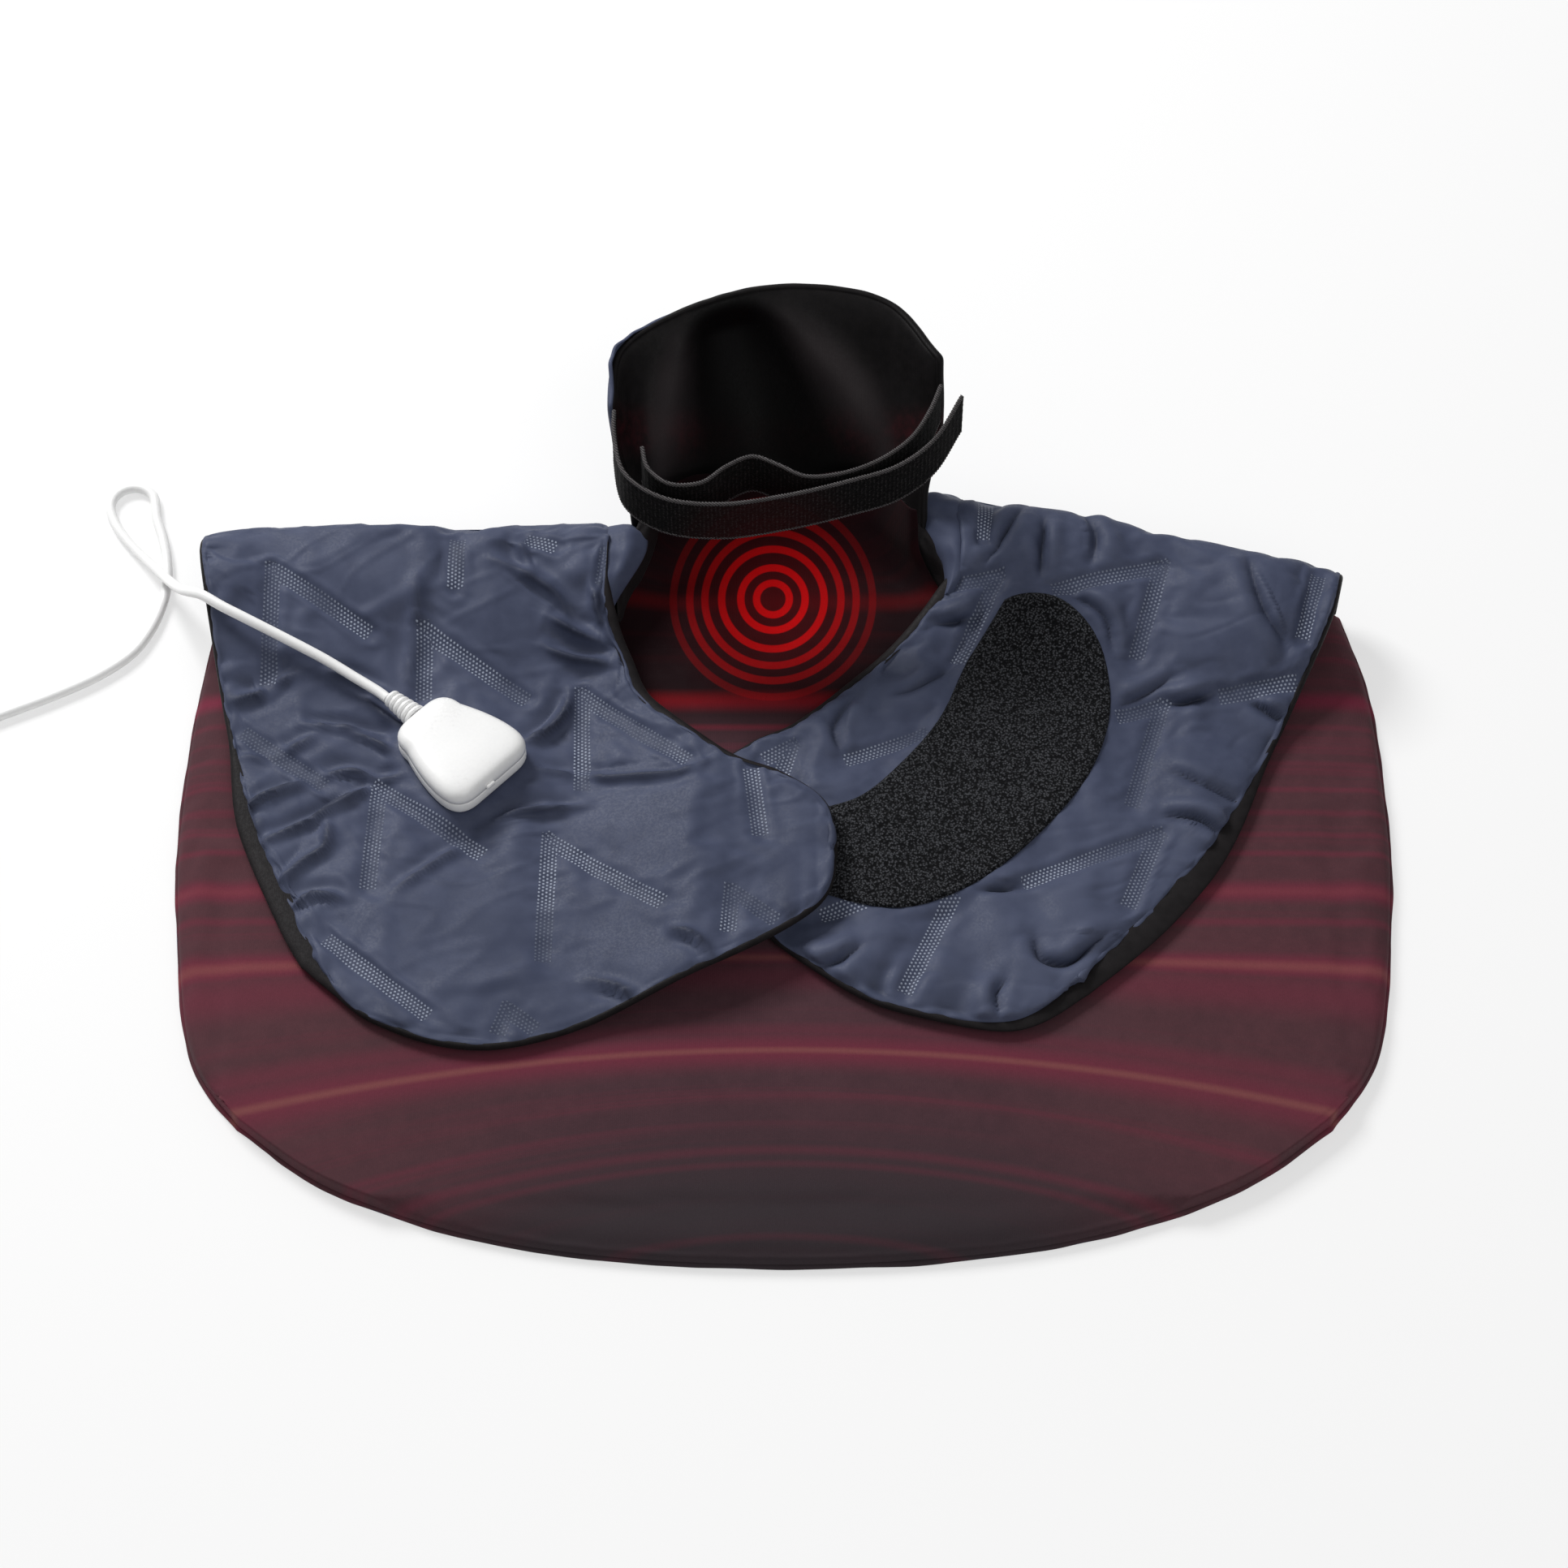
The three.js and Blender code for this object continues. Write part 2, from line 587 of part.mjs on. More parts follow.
function channelsOf(grid, channelShares) {
  const floor = levelOf((cell) => cell.upper - channelDepth);
  const above = levelOf((cell) => cell.upper + cutOverrun);
  const tall = foldAxisHeight + foldRadius + tongueLift;
  const strips = channelShares.map((corners) => solidOf(prism(channelOutline(corners.map(onFlap)), tall)));
  return solidOf(layer(padOf(grid), floor, above)).intersect(wasm.Manifold.union(strips));
}

function flapLayers(side, grid, channelShares, pocket) {
  const inner = trimmed(grid, 1, true);
  const shell = solidOf(layer(grid, shellInner, shellOuter)).subtract(channelsOf(grid, channelShares));
  const wadding = layer(inner, waddingFoot, waddingTop);
  const filling = pocket ? geometryOf(solidOf(wadding).subtract(pocket)) : wadding;
  return [
    meshOf(side + '_flap_shell', geometryOf(shell), shellBlue),
    meshOf(side + '_flap_wadding', filling, waddingWhite),
    meshOf(side + '_flap_lining', layer(grid, liningOuter, liningInner), liningBlack),
  ];
}

// A patch that follows a flap: a sheet at a small distance from it, cut by the patch's outline.
function followingPatch(grid, from, to, outline) {
  const tall = foldAxisHeight + foldRadius + tongueLift;
  const cutter = solidOf(prism(outline, tall));
  return geometryOf(solidOf(layer(padOf(grid), from, to)).intersect(cutter));
}

// A wire that runs back and forth across a pad, with half-round turns.
function serpentine(start, half, pitch, runs, height) {
  const points = [];
  for (let run = 0; run < runs; run += 1) {
    const way = run % 2 ? -1 : 1;
    const y = start.y + run * pitch;
    points.push(V3(start.x - way * half, y, height));
    points.push(V3(start.x + way * half, y, height));
    if (run === runs - 1) break;
    for (let k = 1; k < turnSteps; k += 1) {
      const angle = -Math.PI / 2 + k * Math.PI / turnSteps;
      points.push(V3(
        start.x + way * (half + Math.cos(angle) * Math.abs(pitch) / 2),
        y + (1 + Math.sin(angle)) * pitch / 2,
        height,
      ));
    }
  }
  return tube(points, wireDiameter, wireSides);
}

function backHeating() {
  const height = backThickness - fabricThickness - fitGap - wireDiameter / 2;
  const wire = serpentine(V2(0, backWireFront), backWireHalf, backWirePitch, backWireRuns, height);
  const rest = backThickness - fabricThickness - wireRoom + fitGap;
  const y = backWireFront + (backWireRuns / 2 - 1 / 2) * backWirePitch;
  const cutOuts = [['left', -1], ['right', 1]].map(([side, way]) => meshOf(
    'cut_out_' + side,
    disc(cutOutDiameter, cutOutThickness).translate(way * cutOutOffset, y, rest),
    steel,
  ));
  return [meshOf('back_heating_wire', wire, wireRed), ...cutOuts];
}

// Connector: a rounded plan, narrow at the cord and wide at the far end.
function connectorOutline(margin = 0) {
  const neck = connectorNeckWidth / 2 - margin;
  const head = connectorHeadWidth / 2 - margin;
  const end = connectorLength / 2 - margin;
  const corner = connectorCorner;
  const shape = new THREE.Shape();
  shape.moveTo(-end + corner, -neck);
  shape.quadraticCurveTo(end - corner - corner, -head, end - corner, -head);
  shape.quadraticCurveTo(end, -head, end, -head + corner);
  shape.lineTo(end, head - corner);
  shape.quadraticCurveTo(end, head, end - corner, head);
  shape.quadraticCurveTo(end - corner - corner, head, -end + corner, neck);
  shape.quadraticCurveTo(-end, neck - margin, -end, neck - corner);
  shape.lineTo(-end, -neck + corner);
  shape.quadraticCurveTo(-end, -neck, -end + corner, -neck);
  return shape.getPoints(outlineSteps);
}

function ribbedRelief(length, root, tip, ribs, ribDepth, plug, plugDepth) {
  const profile = plugDepth ? [V2(0, -plugDepth), V2(plug / 2, -plugDepth), V2(plug / 2, 0)] : [V2(0, 0)];
  profile.push(V2(root / 2, 0));
  for (let k = 0; k < ribs; k += 1) {
    const start = (k + 1 / 2) / (ribs + 1 / 2);
    const end = (k + 1) / (ribs + 1 / 2);
    const radius = lerp(root, tip, start) / 2;
    profile.push(V2(radius, start * length - length / (4 * ribs)));
    profile.push(V2(radius - ribDepth / 2, start * length));
    profile.push(V2(radius - ribDepth / 2, end * length - length / (4 * ribs)));
    profile.push(V2(lerp(root, tip, end) / 2, end * length));
  }
  profile.push(V2(0, length));
  return new THREE.LatheGeometry(profile, reliefSides);
}

function connector() {
  const group = new THREE.Group();
  const half = connectorLength / 2;
  const height = connectorBaseHeight;
  const socketRadius = bootSocketDiameter / 2 + fitGap;
  const socket = new THREE.CylinderGeometry(
    socketRadius, socketRadius, bootSocketDepth + cutOverrun, roundSides,
  ).rotateZ(Math.PI / 2).translate(-half + (bootSocketDepth - cutOverrun) / 2 + fitGap, 0, height);
  const base = solidOf(prism(connectorOutline(), connectorBaseHeight)).subtract(solidOf(socket));
  const cover = solidOf(prism(connectorOutline(), connectorCoverHeight + connectorBevel, connectorBevel));
  const skirt = solidOf(new THREE.BoxGeometry(2 * connectorLength, 2 * connectorLength, 2 * connectorBevel));
  const nub = new THREE.BoxGeometry(nubDepth, nubWidth, nubHeight)
    .translate(half + nubDepth / 2 - fitGap, -nubWidth, connectorBevel + nubHeight / 2);
  const top = cover.subtract(skirt).add(solidOf(nub));
  const lowered = geometryOf(top).translate(0, 0, height + fitGap - connectorBevel);
  const boot = ribbedRelief(
    bootLength, bootRootDiameter, bootTipDiameter, bootRibs, bootRibDepth, bootSocketDiameter,
    bootSocketDepth,
  ).rotateZ(Math.PI / 2).translate(-half - fitGap, 0, height);
  group.add(
    meshOf('connector_base', geometryOf(base), plasticWhite),
    meshOf('connector_cover', geometryOf(solidOf(lowered).subtract(solidOf(socket))), plasticWhite),
    meshOf('connector_relief', boot, plasticWhite),
  );
  return group;
}

function leftLift(spot) {
  const [start, end] = tongueLiftShares.map((share) => share * flapWidth);
  return tongueLift * smoothstep(spot.x, start, end);
}

const leftGrid = flapGrid(leftOuterShares, leftHemShares, leftNeckShares, leftLift);
const rightGrid = flapGrid(rightOuterShares, rightHemShares, rightNeckShares, () => 0);

function flapWire(start) {
  const height = flapRest + fabricThickness + fitGap + wireDiameter / 2;
  return serpentine(start, flapWireHalf, -flapWirePitch, flapWireRuns, height);
}

function padTopAt(spot) {
  const fall = smoothstep(-spot.y, 0, foldRun);
  return lerp(foldAxisHeight + foldRadius, flapRest + flapThickness, fall);
}

function leftFlap() {
  const group = new THREE.Group();
  const hookCentre = onFlap(hookPatchShare);
  const hookOutline = roundedBox(hookPatchLength, hookPatchWidth, hookPatchWidth / 2)
    .map((point) => point.rotateAround(V2(0, 0), hookPatchTurn).add(hookCentre));
  const under = levelOf((cell) => cell.lower - fitGap);
  const below = levelOf((cell) => cell.lower - fitGap - hookPatchThickness);
  const hook = followingPatch(leftGrid, below, under, hookOutline);
  const plateTop = flapRest + flapThickness - fabricThickness - fitGap;
  const plate = disc(backingPlateDiameter, backingPlateThickness)
    .translate(connectorPlace.x, connectorPlace.y, plateTop - backingPlateThickness);
  const pocket = disc(backingPlateDiameter + 2 * fitGap, backingPlateThickness + fitGap + cutOverrun)
    .translate(connectorPlace.x, connectorPlace.y, plateTop - backingPlateThickness - fitGap);
  const puck = connector();
  puck.position.set(connectorPlace.x, connectorPlace.y, padTopAt(connectorPlace) + connectorLift);
  puck.rotation.z = connectorTurn;
  group.add(
    ...flapLayers('left', leftGrid, leftChannelShares, solidOf(pocket)),
    meshOf('left_heating_wire', flapWire(onFlap(leftWireShare)), wireRed),
    meshOf('hook_patch', hook, hookBlack),
    meshOf('connector_plate', plate, plasticWhite),
    puck,
  );
  group.position.set(leftFold.x, leftFold.y, 0);
  group.rotation.z = leftFoldAngle;
  return group;
}

function rightFlap() {
  const group = new THREE.Group();
  const curve = new THREE.CatmullRomCurve3(
    patchShares.map(([x, y]) => V3(x * patchLength, y * patchLength, 0)), true,
  );
  const outline = curve.getPoints(2 * patchShares.length).slice(1).map((point) => V2(point.x, point.y));
  const over = levelOf((cell) => cell.upper + fitGap);
  const above = levelOf((cell) => cell.upper + fitGap + loopPatchThickness);
  group.add(
    ...flapLayers('right', rightGrid, rightChannelShares),
    meshOf('right_heating_wire', flapWire(onFlap(rightWireShare)), wireRed),
    meshOf('loop_patch', followingPatch(rightGrid, over, above, outline), hookBlack),
  );
  group.position.set(rightFold.x, rightFold.y, 0);
  group.rotation.z = rightFoldAngle;
  return group;
}

// Collar: a leaning wall round the back of the neck, with a soft fold down its middle.
function onCollar([x, y, z]) {
  return V3(x * collarHalf, collarBaseY + y * collarLean, collarBackRise + z * collarHeight);
}

function collarGrid() {
  const base = new THREE.CatmullRomCurve3(collarBaseShares.map(onCollar));
  const top = new THREE.CatmullRomCurve3(collarTopShares.map(onCollar));
  const spotAt = (u, v) => {
    const [first, middle, last] = collarPleatShares;
    const fold = smoothstep(u, first, middle) * (1 - smoothstep(u, middle, last));
    const pleat = collarPleat * fold * 4 * v * (1 - v);
    return base.getPoint(u).lerp(top.getPoint(u), v).add(V3(0, pleat, 0));
  };
  const thickness = 2 * fabricThickness + collarWadding + 2 * fitGap;
  const small = 1 / (8 * collarColumns);
  const length = base.getLength();
  const across = stations(length, collarSlope, collarSlope, collarColumns);
  const along = stations(collarHeight, foldSlope, collarSlope, collarRows);
  return along.map((v) => across.map((u) => {
    const place = spotAt(u, v);
    const run = spotAt(Math.min(1, u + small), v).sub(spotAt(Math.max(0, u - small), v));
    const rise = spotAt(u, 1).sub(spotAt(u, 0));
    const normal = run.cross(rise).normalize().negate();
    const end = swell(Math.min(u, 1 - u) * length, collarSlope);
    const rim = swell((1 - v) * collarHeight, collarSlope);
    const width = lerp(seamThickness, thickness, end * rim);
    return { place, normal, lower: -width / 2, upper: width / 2 };
  }));
}

function collar() {
  const grid = collarGrid();
  const inner = trimmed(grid, 1, false);
  const foot = levelOf((cell) => cell.lower + fabricThickness + fitGap);
  return [
    meshOf('collar_shell', layer(grid, shellInner, shellOuter), shellBlue),
    meshOf('collar_wadding', layer(inner, foot, waddingTop), waddingWhite),
    meshOf('collar_lining', layer(grid, liningOuter, liningInner), liningBlack),
  ];
}

// A band that stands on edge and follows the places that it passes beside the collar.
function band(shares, width, thickness, steps) {
  const curve = new THREE.CatmullRomCurve3(shares.map(onCollar));
  const rows = Array.from({ length: steps + 1 }, (_, k) => {
    const place = curve.getPointAt(k / steps);
    const along = curve.getTangentAt(k / steps);
    const across = V3(along.y, -along.x, 0).normalize().multiplyScalar(thickness / 2);
    const up = V3(0, 0, width / 2);
    return [-1, 1].map((way) => [-1, 1].map(
      (rise) => place.clone().addScaledVector(across, way).addScaledVector(up, rise),
    ));
  });
  return closedSheet(rows.map((row) => row[1]), rows.map((row) => row[0]));
}

// Cords

// A coil in two layers: it spirals in on the lower one and out again on the upper one.
function coilPoints(place, radius, turns, startAngle, way) {
  const perLayer = turns / 2;
  const outer = radius + perLayer * coilPitch / 2;
  const pointAt = (turn) => {
    const ring = outer - coilPitch * Math.min(turn, turns - turn);
    const climb = smoothstep(turn, perLayer - 1 / 4, perLayer + 1 / 4) * coilPitch;
    const angle = startAngle + way * turn * 2 * Math.PI;
    return V3(
      place.x + Math.cos(angle) * ring,
      place.y + Math.sin(angle) * ring,
      cordDiameter / 2 + cordRest + climb,
    );
  };
  const turnsOfCord = Array.from({ length: turns * coilSteps + 1 }, (_, k) => pointAt(k / coilSteps));
  const first = V3(Math.sin(startAngle), -Math.cos(startAngle), 0).multiplyScalar(way * cordDiameter);
  const endAngle = startAngle + way * turns * 2 * Math.PI;
  const last = V3(-Math.sin(endAngle), Math.cos(endAngle), 0).multiplyScalar(way * cordDiameter);
  return [turnsOfCord[0].clone().add(first), ...turnsOfCord, turnsOfCord.at(-1).clone().add(last)];
}

// The least distance between two stretches of one coil, half a turn or more apart.
function leastGap(points) {
  let least = Infinity;
  points.forEach((a, i) => {
    points.slice(i + coilSteps / 2).forEach((b) => {
      least = Math.min(least, a.distanceTo(b));
    });
  });
  return least - cordDiameter;
}

function coil(name, place, radius, turns, startAngle, way) {
  const points = coilPoints(place, radius, turns, startAngle, way);
  console.log(name + ' least gap to itself', leastGap(points).toFixed(2));
  return meshOf(name, tube(points, cordDiameter, coilSides), cordWhite);
}

function cordAlong(name, route) {
  const curve = new THREE.CatmullRomCurve3(route, false, 'centripetal');
  const steps = Math.max(2, Math.round(curve.getLength() / cordStep));
  return meshOf(name, tube(curve.getSpacedPoints(steps), cordDiameter, cordSides), cordWhite);
}

function cords() {
  return [
    cordAlong('control_cord_floor', cordFloorRoute),
    coil('control_cord_coil', controlCoilPlace, controlCoilRadius, controlCoilTurns, controlCoilStart, -1),
    cordAlong('control_cord_lead', controlLeadRoute),
    cordAlong('mains_cord_lead', mainsLeadRoute),
    coil('mains_cord_coil', mainsCoilPlace, mainsCoilRadius, mainsCoilTurns, mainsCoilStart, 1),
    cordAlong('mains_cord_tail', mainsTailRoute),
  ];
}

// Hand controller: x along its length, the display end towards the wrap.

function fourPlaces(x, y) {
  return [[x, y], [-x, y], [-x, -y], [x, -y]];
}

function postAt(x, y, diameter, foot, top) {
  return solidOf(disc(diameter, top - foot).translate(x, y, foot));
}

function controllerShells() {
  const split = controllerSplit + fitGap;
  const whole = solidOf(prism(
    roundedBox(controllerLength, controllerWidth, controllerCorner), controllerHeight, controllerBevel,
  ));
  const wall = 2 * controllerWall;
  const room = solidOf(prism(
    roundedBox(controllerLength - wall, controllerWidth - wall, controllerCorner - controllerWall),
    controllerHeight - wall,
  ).translate(0, 0, controllerWall));
  const slab = (from, to) => solidOf(
    new THREE.BoxGeometry(2 * controllerLength, 2 * controllerWidth, to - from)
      .translate(0, 0, (from + to) / 2),
  );
  const bosses = fourPlaces(controllerLength / 2 - bossInsetX, controllerWidth / 2 - bossInsetY);
  const roof = controllerHeight - controllerWall;
  const portDiameter = reliefPlug + 2 * fitGap;
  const portDepth = 2 * (controllerWall + cutOverrun);
  const ports = [-1, 1].map((way) => solidOf(disc(portDiameter, portDepth)
    .rotateY(Math.PI / 2)
    .translate((way * controllerLength - portDepth) / 2, 0, split - fitGap / 2)));

  let backShell = whole.subtract(slab(controllerSplit, 2 * controllerHeight)).subtract(room);
  let frontShell = whole.subtract(slab(-controllerHeight, split)).subtract(room);
  const bore = screwShank + 2 * screwClearance;
  bosses.forEach(([x, y]) => {
    backShell = backShell.add(postAt(x, y, bossDiameter, controllerWall - fitGap, controllerSplit))
      .subtract(postAt(x, y, bore, -cutOverrun, controllerSplit + cutOverrun))
      .subtract(postAt(x, y, screwHead + 2 * screwClearance, -cutOverrun, screwHeadHeight + 2 * fitGap));
    frontShell = frontShell.add(postAt(x, y, bossDiameter, split, roof + fitGap))
      .subtract(postAt(x, y, bore, split - cutOverrun, screwReach + cutOverrun / 2));
  });
  fourPlaces(postSpacingX / 2, postSpacingY / 2).forEach(([x, y]) => {
    backShell = backShell.add(postAt(x, y, postDiameter, controllerWall - fitGap, boardFoot - fitGap));
  });
  ports.forEach((port) => {
    backShell = backShell.subtract(port);
    frontShell = frontShell.subtract(port);
  });
  const pocket = new THREE.BoxGeometry(windowLength, windowWidth, windowThickness + fitGap + cutOverrun)
    .translate(windowOffset, 0, controllerHeight - (windowThickness + fitGap - cutOverrun) / 2);
  const sight = new THREE.BoxGeometry(
    windowLength - 2 * windowLedge, windowWidth - 2 * windowLedge, 2 * controllerWall + cutOverrun,
  ).translate(windowOffset, 0, controllerHeight);
  frontShell = frontShell.subtract(solidOf(pocket)).subtract(solidOf(sight));
  buttonPlaces().forEach((x) => {
    const hole = postAt(x, 0, buttonDiameter + 2 * fitGap, roof - cutOverrun, controllerHeight + cutOverrun);
    frontShell = frontShell.subtract(hole);
  });
  return [
    meshOf('controller_back', geometryOf(backShell), plasticWhite),
    meshOf('controller_front', geometryOf(frontShell), plasticWhite),
  ];
}

function buttonPlaces() {
  return [1, 0, -1].map((k) => buttonOffset + k * buttonPitch);
}

function controllerButtons() {
  const roof = controllerHeight - controllerWall;
  const skirtTop = roof - fitGap;
  const skirtFoot = skirtTop - buttonSkirtHeight;
  const stemFoot = boardFoot + boardThickness + switchHeight + buttonTravel + fitGap;
  const cap = buttonDiameter / 2;
  const profile = [
    V2(0, stemFoot),
    V2(buttonStem / 2, stemFoot),
    V2(buttonStem / 2, skirtFoot),
    V2(cap + buttonSkirt, skirtFoot),
    V2(cap + buttonSkirt, skirtTop),
    V2(cap, skirtTop),
    V2(cap, controllerHeight + buttonProud / 2),
    V2(cap - buttonProud / 2, controllerHeight + buttonProud),
    V2(0, controllerHeight + buttonProud),
  ];
  const names = ['power_button', 'heat_button', 'timer_button'];
  return buttonPlaces().map((x, k) => meshOf(
    names[k],
    new THREE.LatheGeometry(profile, roundSides).rotateX(Math.PI / 2).translate(x, 0, 0),
    plasticWhite,
  ));
}

function controllerInside() {
  let board = solidOf(new THREE.BoxGeometry(boardLength, boardWidth, boardThickness)
    .translate(0, 0, boardFoot + boardThickness / 2));
  buttonPlaces().forEach((x) => {
    const top = boardFoot + boardThickness;
    board = board.add(postAt(x, 0, switchDiameter, top - fitGap, top + switchHeight));
  });
  const screw = [
    V2(0, fitGap),
    V2(screwHead / 2, fitGap),
    V2(screwHead / 2, fitGap + screwHeadHeight),
    V2(screwShank / 2, fitGap + screwHeadHeight),
    V2(screwShank / 2, screwReach),
    V2(0, screwReach),
  ];
  const places = fourPlaces(controllerLength / 2 - bossInsetX, controllerWidth / 2 - bossInsetY);
  const screws = places.map(([x, y], k) => meshOf(
    'controller_screw_' + (k + 1),
    new THREE.LatheGeometry(screw, screwSides).rotateX(Math.PI / 2).translate(x, y, 0),
    steel,
  ));
  const pane = new THREE.BoxGeometry(windowLength - 2 * fitGap, windowWidth - 2 * fitGap, windowThickness)
    .translate(windowOffset, 0, controllerHeight - windowThickness / 2);
  return [
    meshOf('controller_board', geometryOf(board), boardGreen),
    meshOf('display_window', pane, windowDark),
    ...screws,
  ];
}

function controllerReliefs() {
  const height = controllerSplit + fitGap / 2;
  return [['control_cord_relief', 1], ['mains_cord_relief', -1]].map(([name, way]) => meshOf(
    name,
    ribbedRelief(reliefLength, reliefRoot, reliefTip, reliefRibs, reliefRibDepth, reliefPlug,
      reliefPlugDepth)
      .rotateZ(-way * Math.PI / 2)
      .translate(way * (controllerLength / 2 + fitGap), 0, height),
    plasticWhite,
  ));
}

function controller() {
  const group = new THREE.Group();
  group.add(...controllerShells(), ...controllerButtons(), ...controllerInside(), ...controllerReliefs());
  group.position.set(controllerPlace.x, controllerPlace.y, 0);
  group.rotation.z = Math.PI / 2;
  return group;
}

// Mains plug: y towards the blades.
function plug() {
  const group = new THREE.Group();
  const outline = [
    V2(-plugTailWidth / 2, 0),
    V2(plugTailWidth / 2, 0),
    V2(plugWidth / 2, plugShoulder),
    V2(plugWidth / 2, plugLength),
    V2(-plugWidth / 2, plugLength),
    V2(-plugWidth / 2, plugShoulder),
  ];
  let body = solidOf(prism(outline, plugHeight, plugBevel));
  const blades = [['plug_blade_left', -1], ['plug_blade_right', 1]].map(([name, way]) => {
    const x = way * bladeSpacing / 2;
    const seat = new THREE.BoxGeometry(
      bladeThickness + 2 * fitGap, bladeSeat + fitGap + cutOverrun, bladeWidth + 2 * fitGap,
    ).translate(x, plugLength - (bladeSeat + fitGap - cutOverrun) / 2, plugHeight / 2);
    body = body.subtract(solidOf(seat));
    const blade = solidOf(new THREE.BoxGeometry(bladeThickness, bladeLength + bladeSeat, bladeWidth)
      .translate(x, plugLength + (bladeLength - bladeSeat) / 2, plugHeight / 2));
    const holePlace = plugLength + bladeLength - bladeHoleInset;
    const hole = solidOf(disc(bladeHole, bladeThickness + 2 * cutOverrun)
      .rotateY(Math.PI / 2)
      .translate(x - bladeThickness / 2 - cutOverrun, holePlace, plugHeight / 2));
    return meshOf(name, geometryOf(blade.subtract(hole)), steel);
  });
  const relief = ribbedRelief(plugReliefLength, reliefRoot, reliefTip, reliefRibs, reliefRibDepth, 0, 0)
    .rotateX(Math.PI)
    .translate(0, -fitGap, plugHeight / 2);
  group.add(
    meshOf('plug_body', geometryOf(body), plasticWhite),
    meshOf('plug_relief', relief, plasticWhite),
    ...blades,
  );
  const end = mainsTailRoute.at(-1);
  group.position.set(end.x, end.y + plugReliefLength + 2 * fitGap, 0);
  return group;
}

const part = new THREE.Group();
part.add(...backPanel(), ...backHeating(), leftFlap(), rightFlap(), ...collar());
part.add(
  meshOf('strap_outer', band(strapOuterShares, strapWidth, strapThickness, strapSteps), hookBlack),
  meshOf('strap_inner', band(strapInnerShares, strapWidth, strapThickness, strapSteps), hookBlack),
  cordAlong('control_cord_flap', cordFlapRoute),
  ...cords(),
  controller(),
  plug(),
);

export default part;
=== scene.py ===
import math

import bpy
import numpy as np
from mathutils import Matrix, Vector, noise
from mathutils.geometry import delaunay_2d_cdt


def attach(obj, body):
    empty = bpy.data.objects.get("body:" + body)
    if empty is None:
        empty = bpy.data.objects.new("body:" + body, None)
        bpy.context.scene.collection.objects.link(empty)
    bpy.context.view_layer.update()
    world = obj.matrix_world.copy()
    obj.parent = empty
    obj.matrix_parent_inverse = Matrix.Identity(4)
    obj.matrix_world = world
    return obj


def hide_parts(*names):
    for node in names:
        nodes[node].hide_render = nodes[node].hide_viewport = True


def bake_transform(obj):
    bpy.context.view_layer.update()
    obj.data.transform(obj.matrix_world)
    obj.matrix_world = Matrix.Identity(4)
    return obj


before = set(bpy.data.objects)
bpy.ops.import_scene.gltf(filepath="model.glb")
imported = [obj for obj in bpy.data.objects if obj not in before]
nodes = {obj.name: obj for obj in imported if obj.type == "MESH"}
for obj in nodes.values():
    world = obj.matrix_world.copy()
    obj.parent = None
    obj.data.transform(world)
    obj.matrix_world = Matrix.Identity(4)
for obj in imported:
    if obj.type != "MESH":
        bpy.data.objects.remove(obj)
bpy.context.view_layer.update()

noise.seed_set(1)  # noise_vector then gives the same in each run
scene = bpy.context.scene
mm = 0.001


# Camera, floor and light

camera_elevation = math.radians(55)
camera_distance = 1800 * mm
camera_target = Vector((0, 64 * mm, 0))
camera_lens = 87.02


def studio():
    """The photograph's viewpoint, a plain pale floor and soft light from above."""
    camera = bpy.data.cameras.new("camera")
    camera.lens = camera_lens
    camera.sensor_width = 36
    viewer = bpy.data.objects.new("camera", camera)
    scene.collection.objects.link(viewer)
    back = Vector((0, -math.cos(camera_elevation), math.sin(camera_elevation)))
    viewer.location = camera_target + back * camera_distance
    viewer.rotation_euler = (math.pi / 2 - camera_elevation, 0, 0)
    scene.camera = viewer

    bpy.ops.mesh.primitive_plane_add(size=60, location=(0, 0, -0.2 * mm))
    floor = bpy.context.object
    floor.name = "floor"
    floor.data.materials.append(floor_paint())

    world = bpy.data.worlds.new("studio")
    scene.world = world
    world.use_nodes = True
    background = world.node_tree.nodes["Background"]
    background.inputs["Color"].default_value = (1, 1, 1, 1)
    background.inputs["Strength"].default_value = 0.3

    lamps = [("key", (-1.1, 1.4, 1.5), 0.8, 46), ("fill", (1.0, -1.5, 1.9), 1.6, 14)]
    for name, place, size, power in lamps:
        lamp = bpy.data.lights.new(name, "AREA")
        lamp.size = size
        lamp.energy = power
        holder = bpy.data.objects.new(name, lamp)
        holder.location = place
        aim = camera_target - Vector(place)
        holder.rotation_euler = aim.to_track_quat("-Z", "Y").to_euler()
        scene.collection.objects.link(holder)
    scene.view_settings.view_transform = "Standard"


def floor_paint():
    """White floor: bright to the camera, and it still takes the object's shadow."""
    paint = bpy.data.materials.new("white_floor")
    paint.use_nodes = True
    tree = paint.node_tree
    finish = tree.nodes["Principled BSDF"]
    finish.inputs["Base Color"].default_value = (0.96, 0.96, 0.96, 1)
    finish.inputs["Roughness"].default_value = 0.9
    rays = node(tree, "LightPath")
    seen = most_of([Amount(tree, rays.outputs[kind]) for kind in (
        "Is Camera Ray", "Is Glossy Ray", "Is Transmission Ray")])
    glow = node(tree, "Emission", {"Strength": 1})
    mix = node(tree, "MixShader")
    (seen * 0.55).to(mix, "Fac")
    tree.links.new(finish.outputs["BSDF"], mix.inputs[1])
    tree.links.new(glow.outputs["Emission"], mix.inputs[2])
    tree.links.new(mix.outputs["Shader"], tree.nodes["Material Output"].inputs["Surface"])
    return paint


# Lines and curves

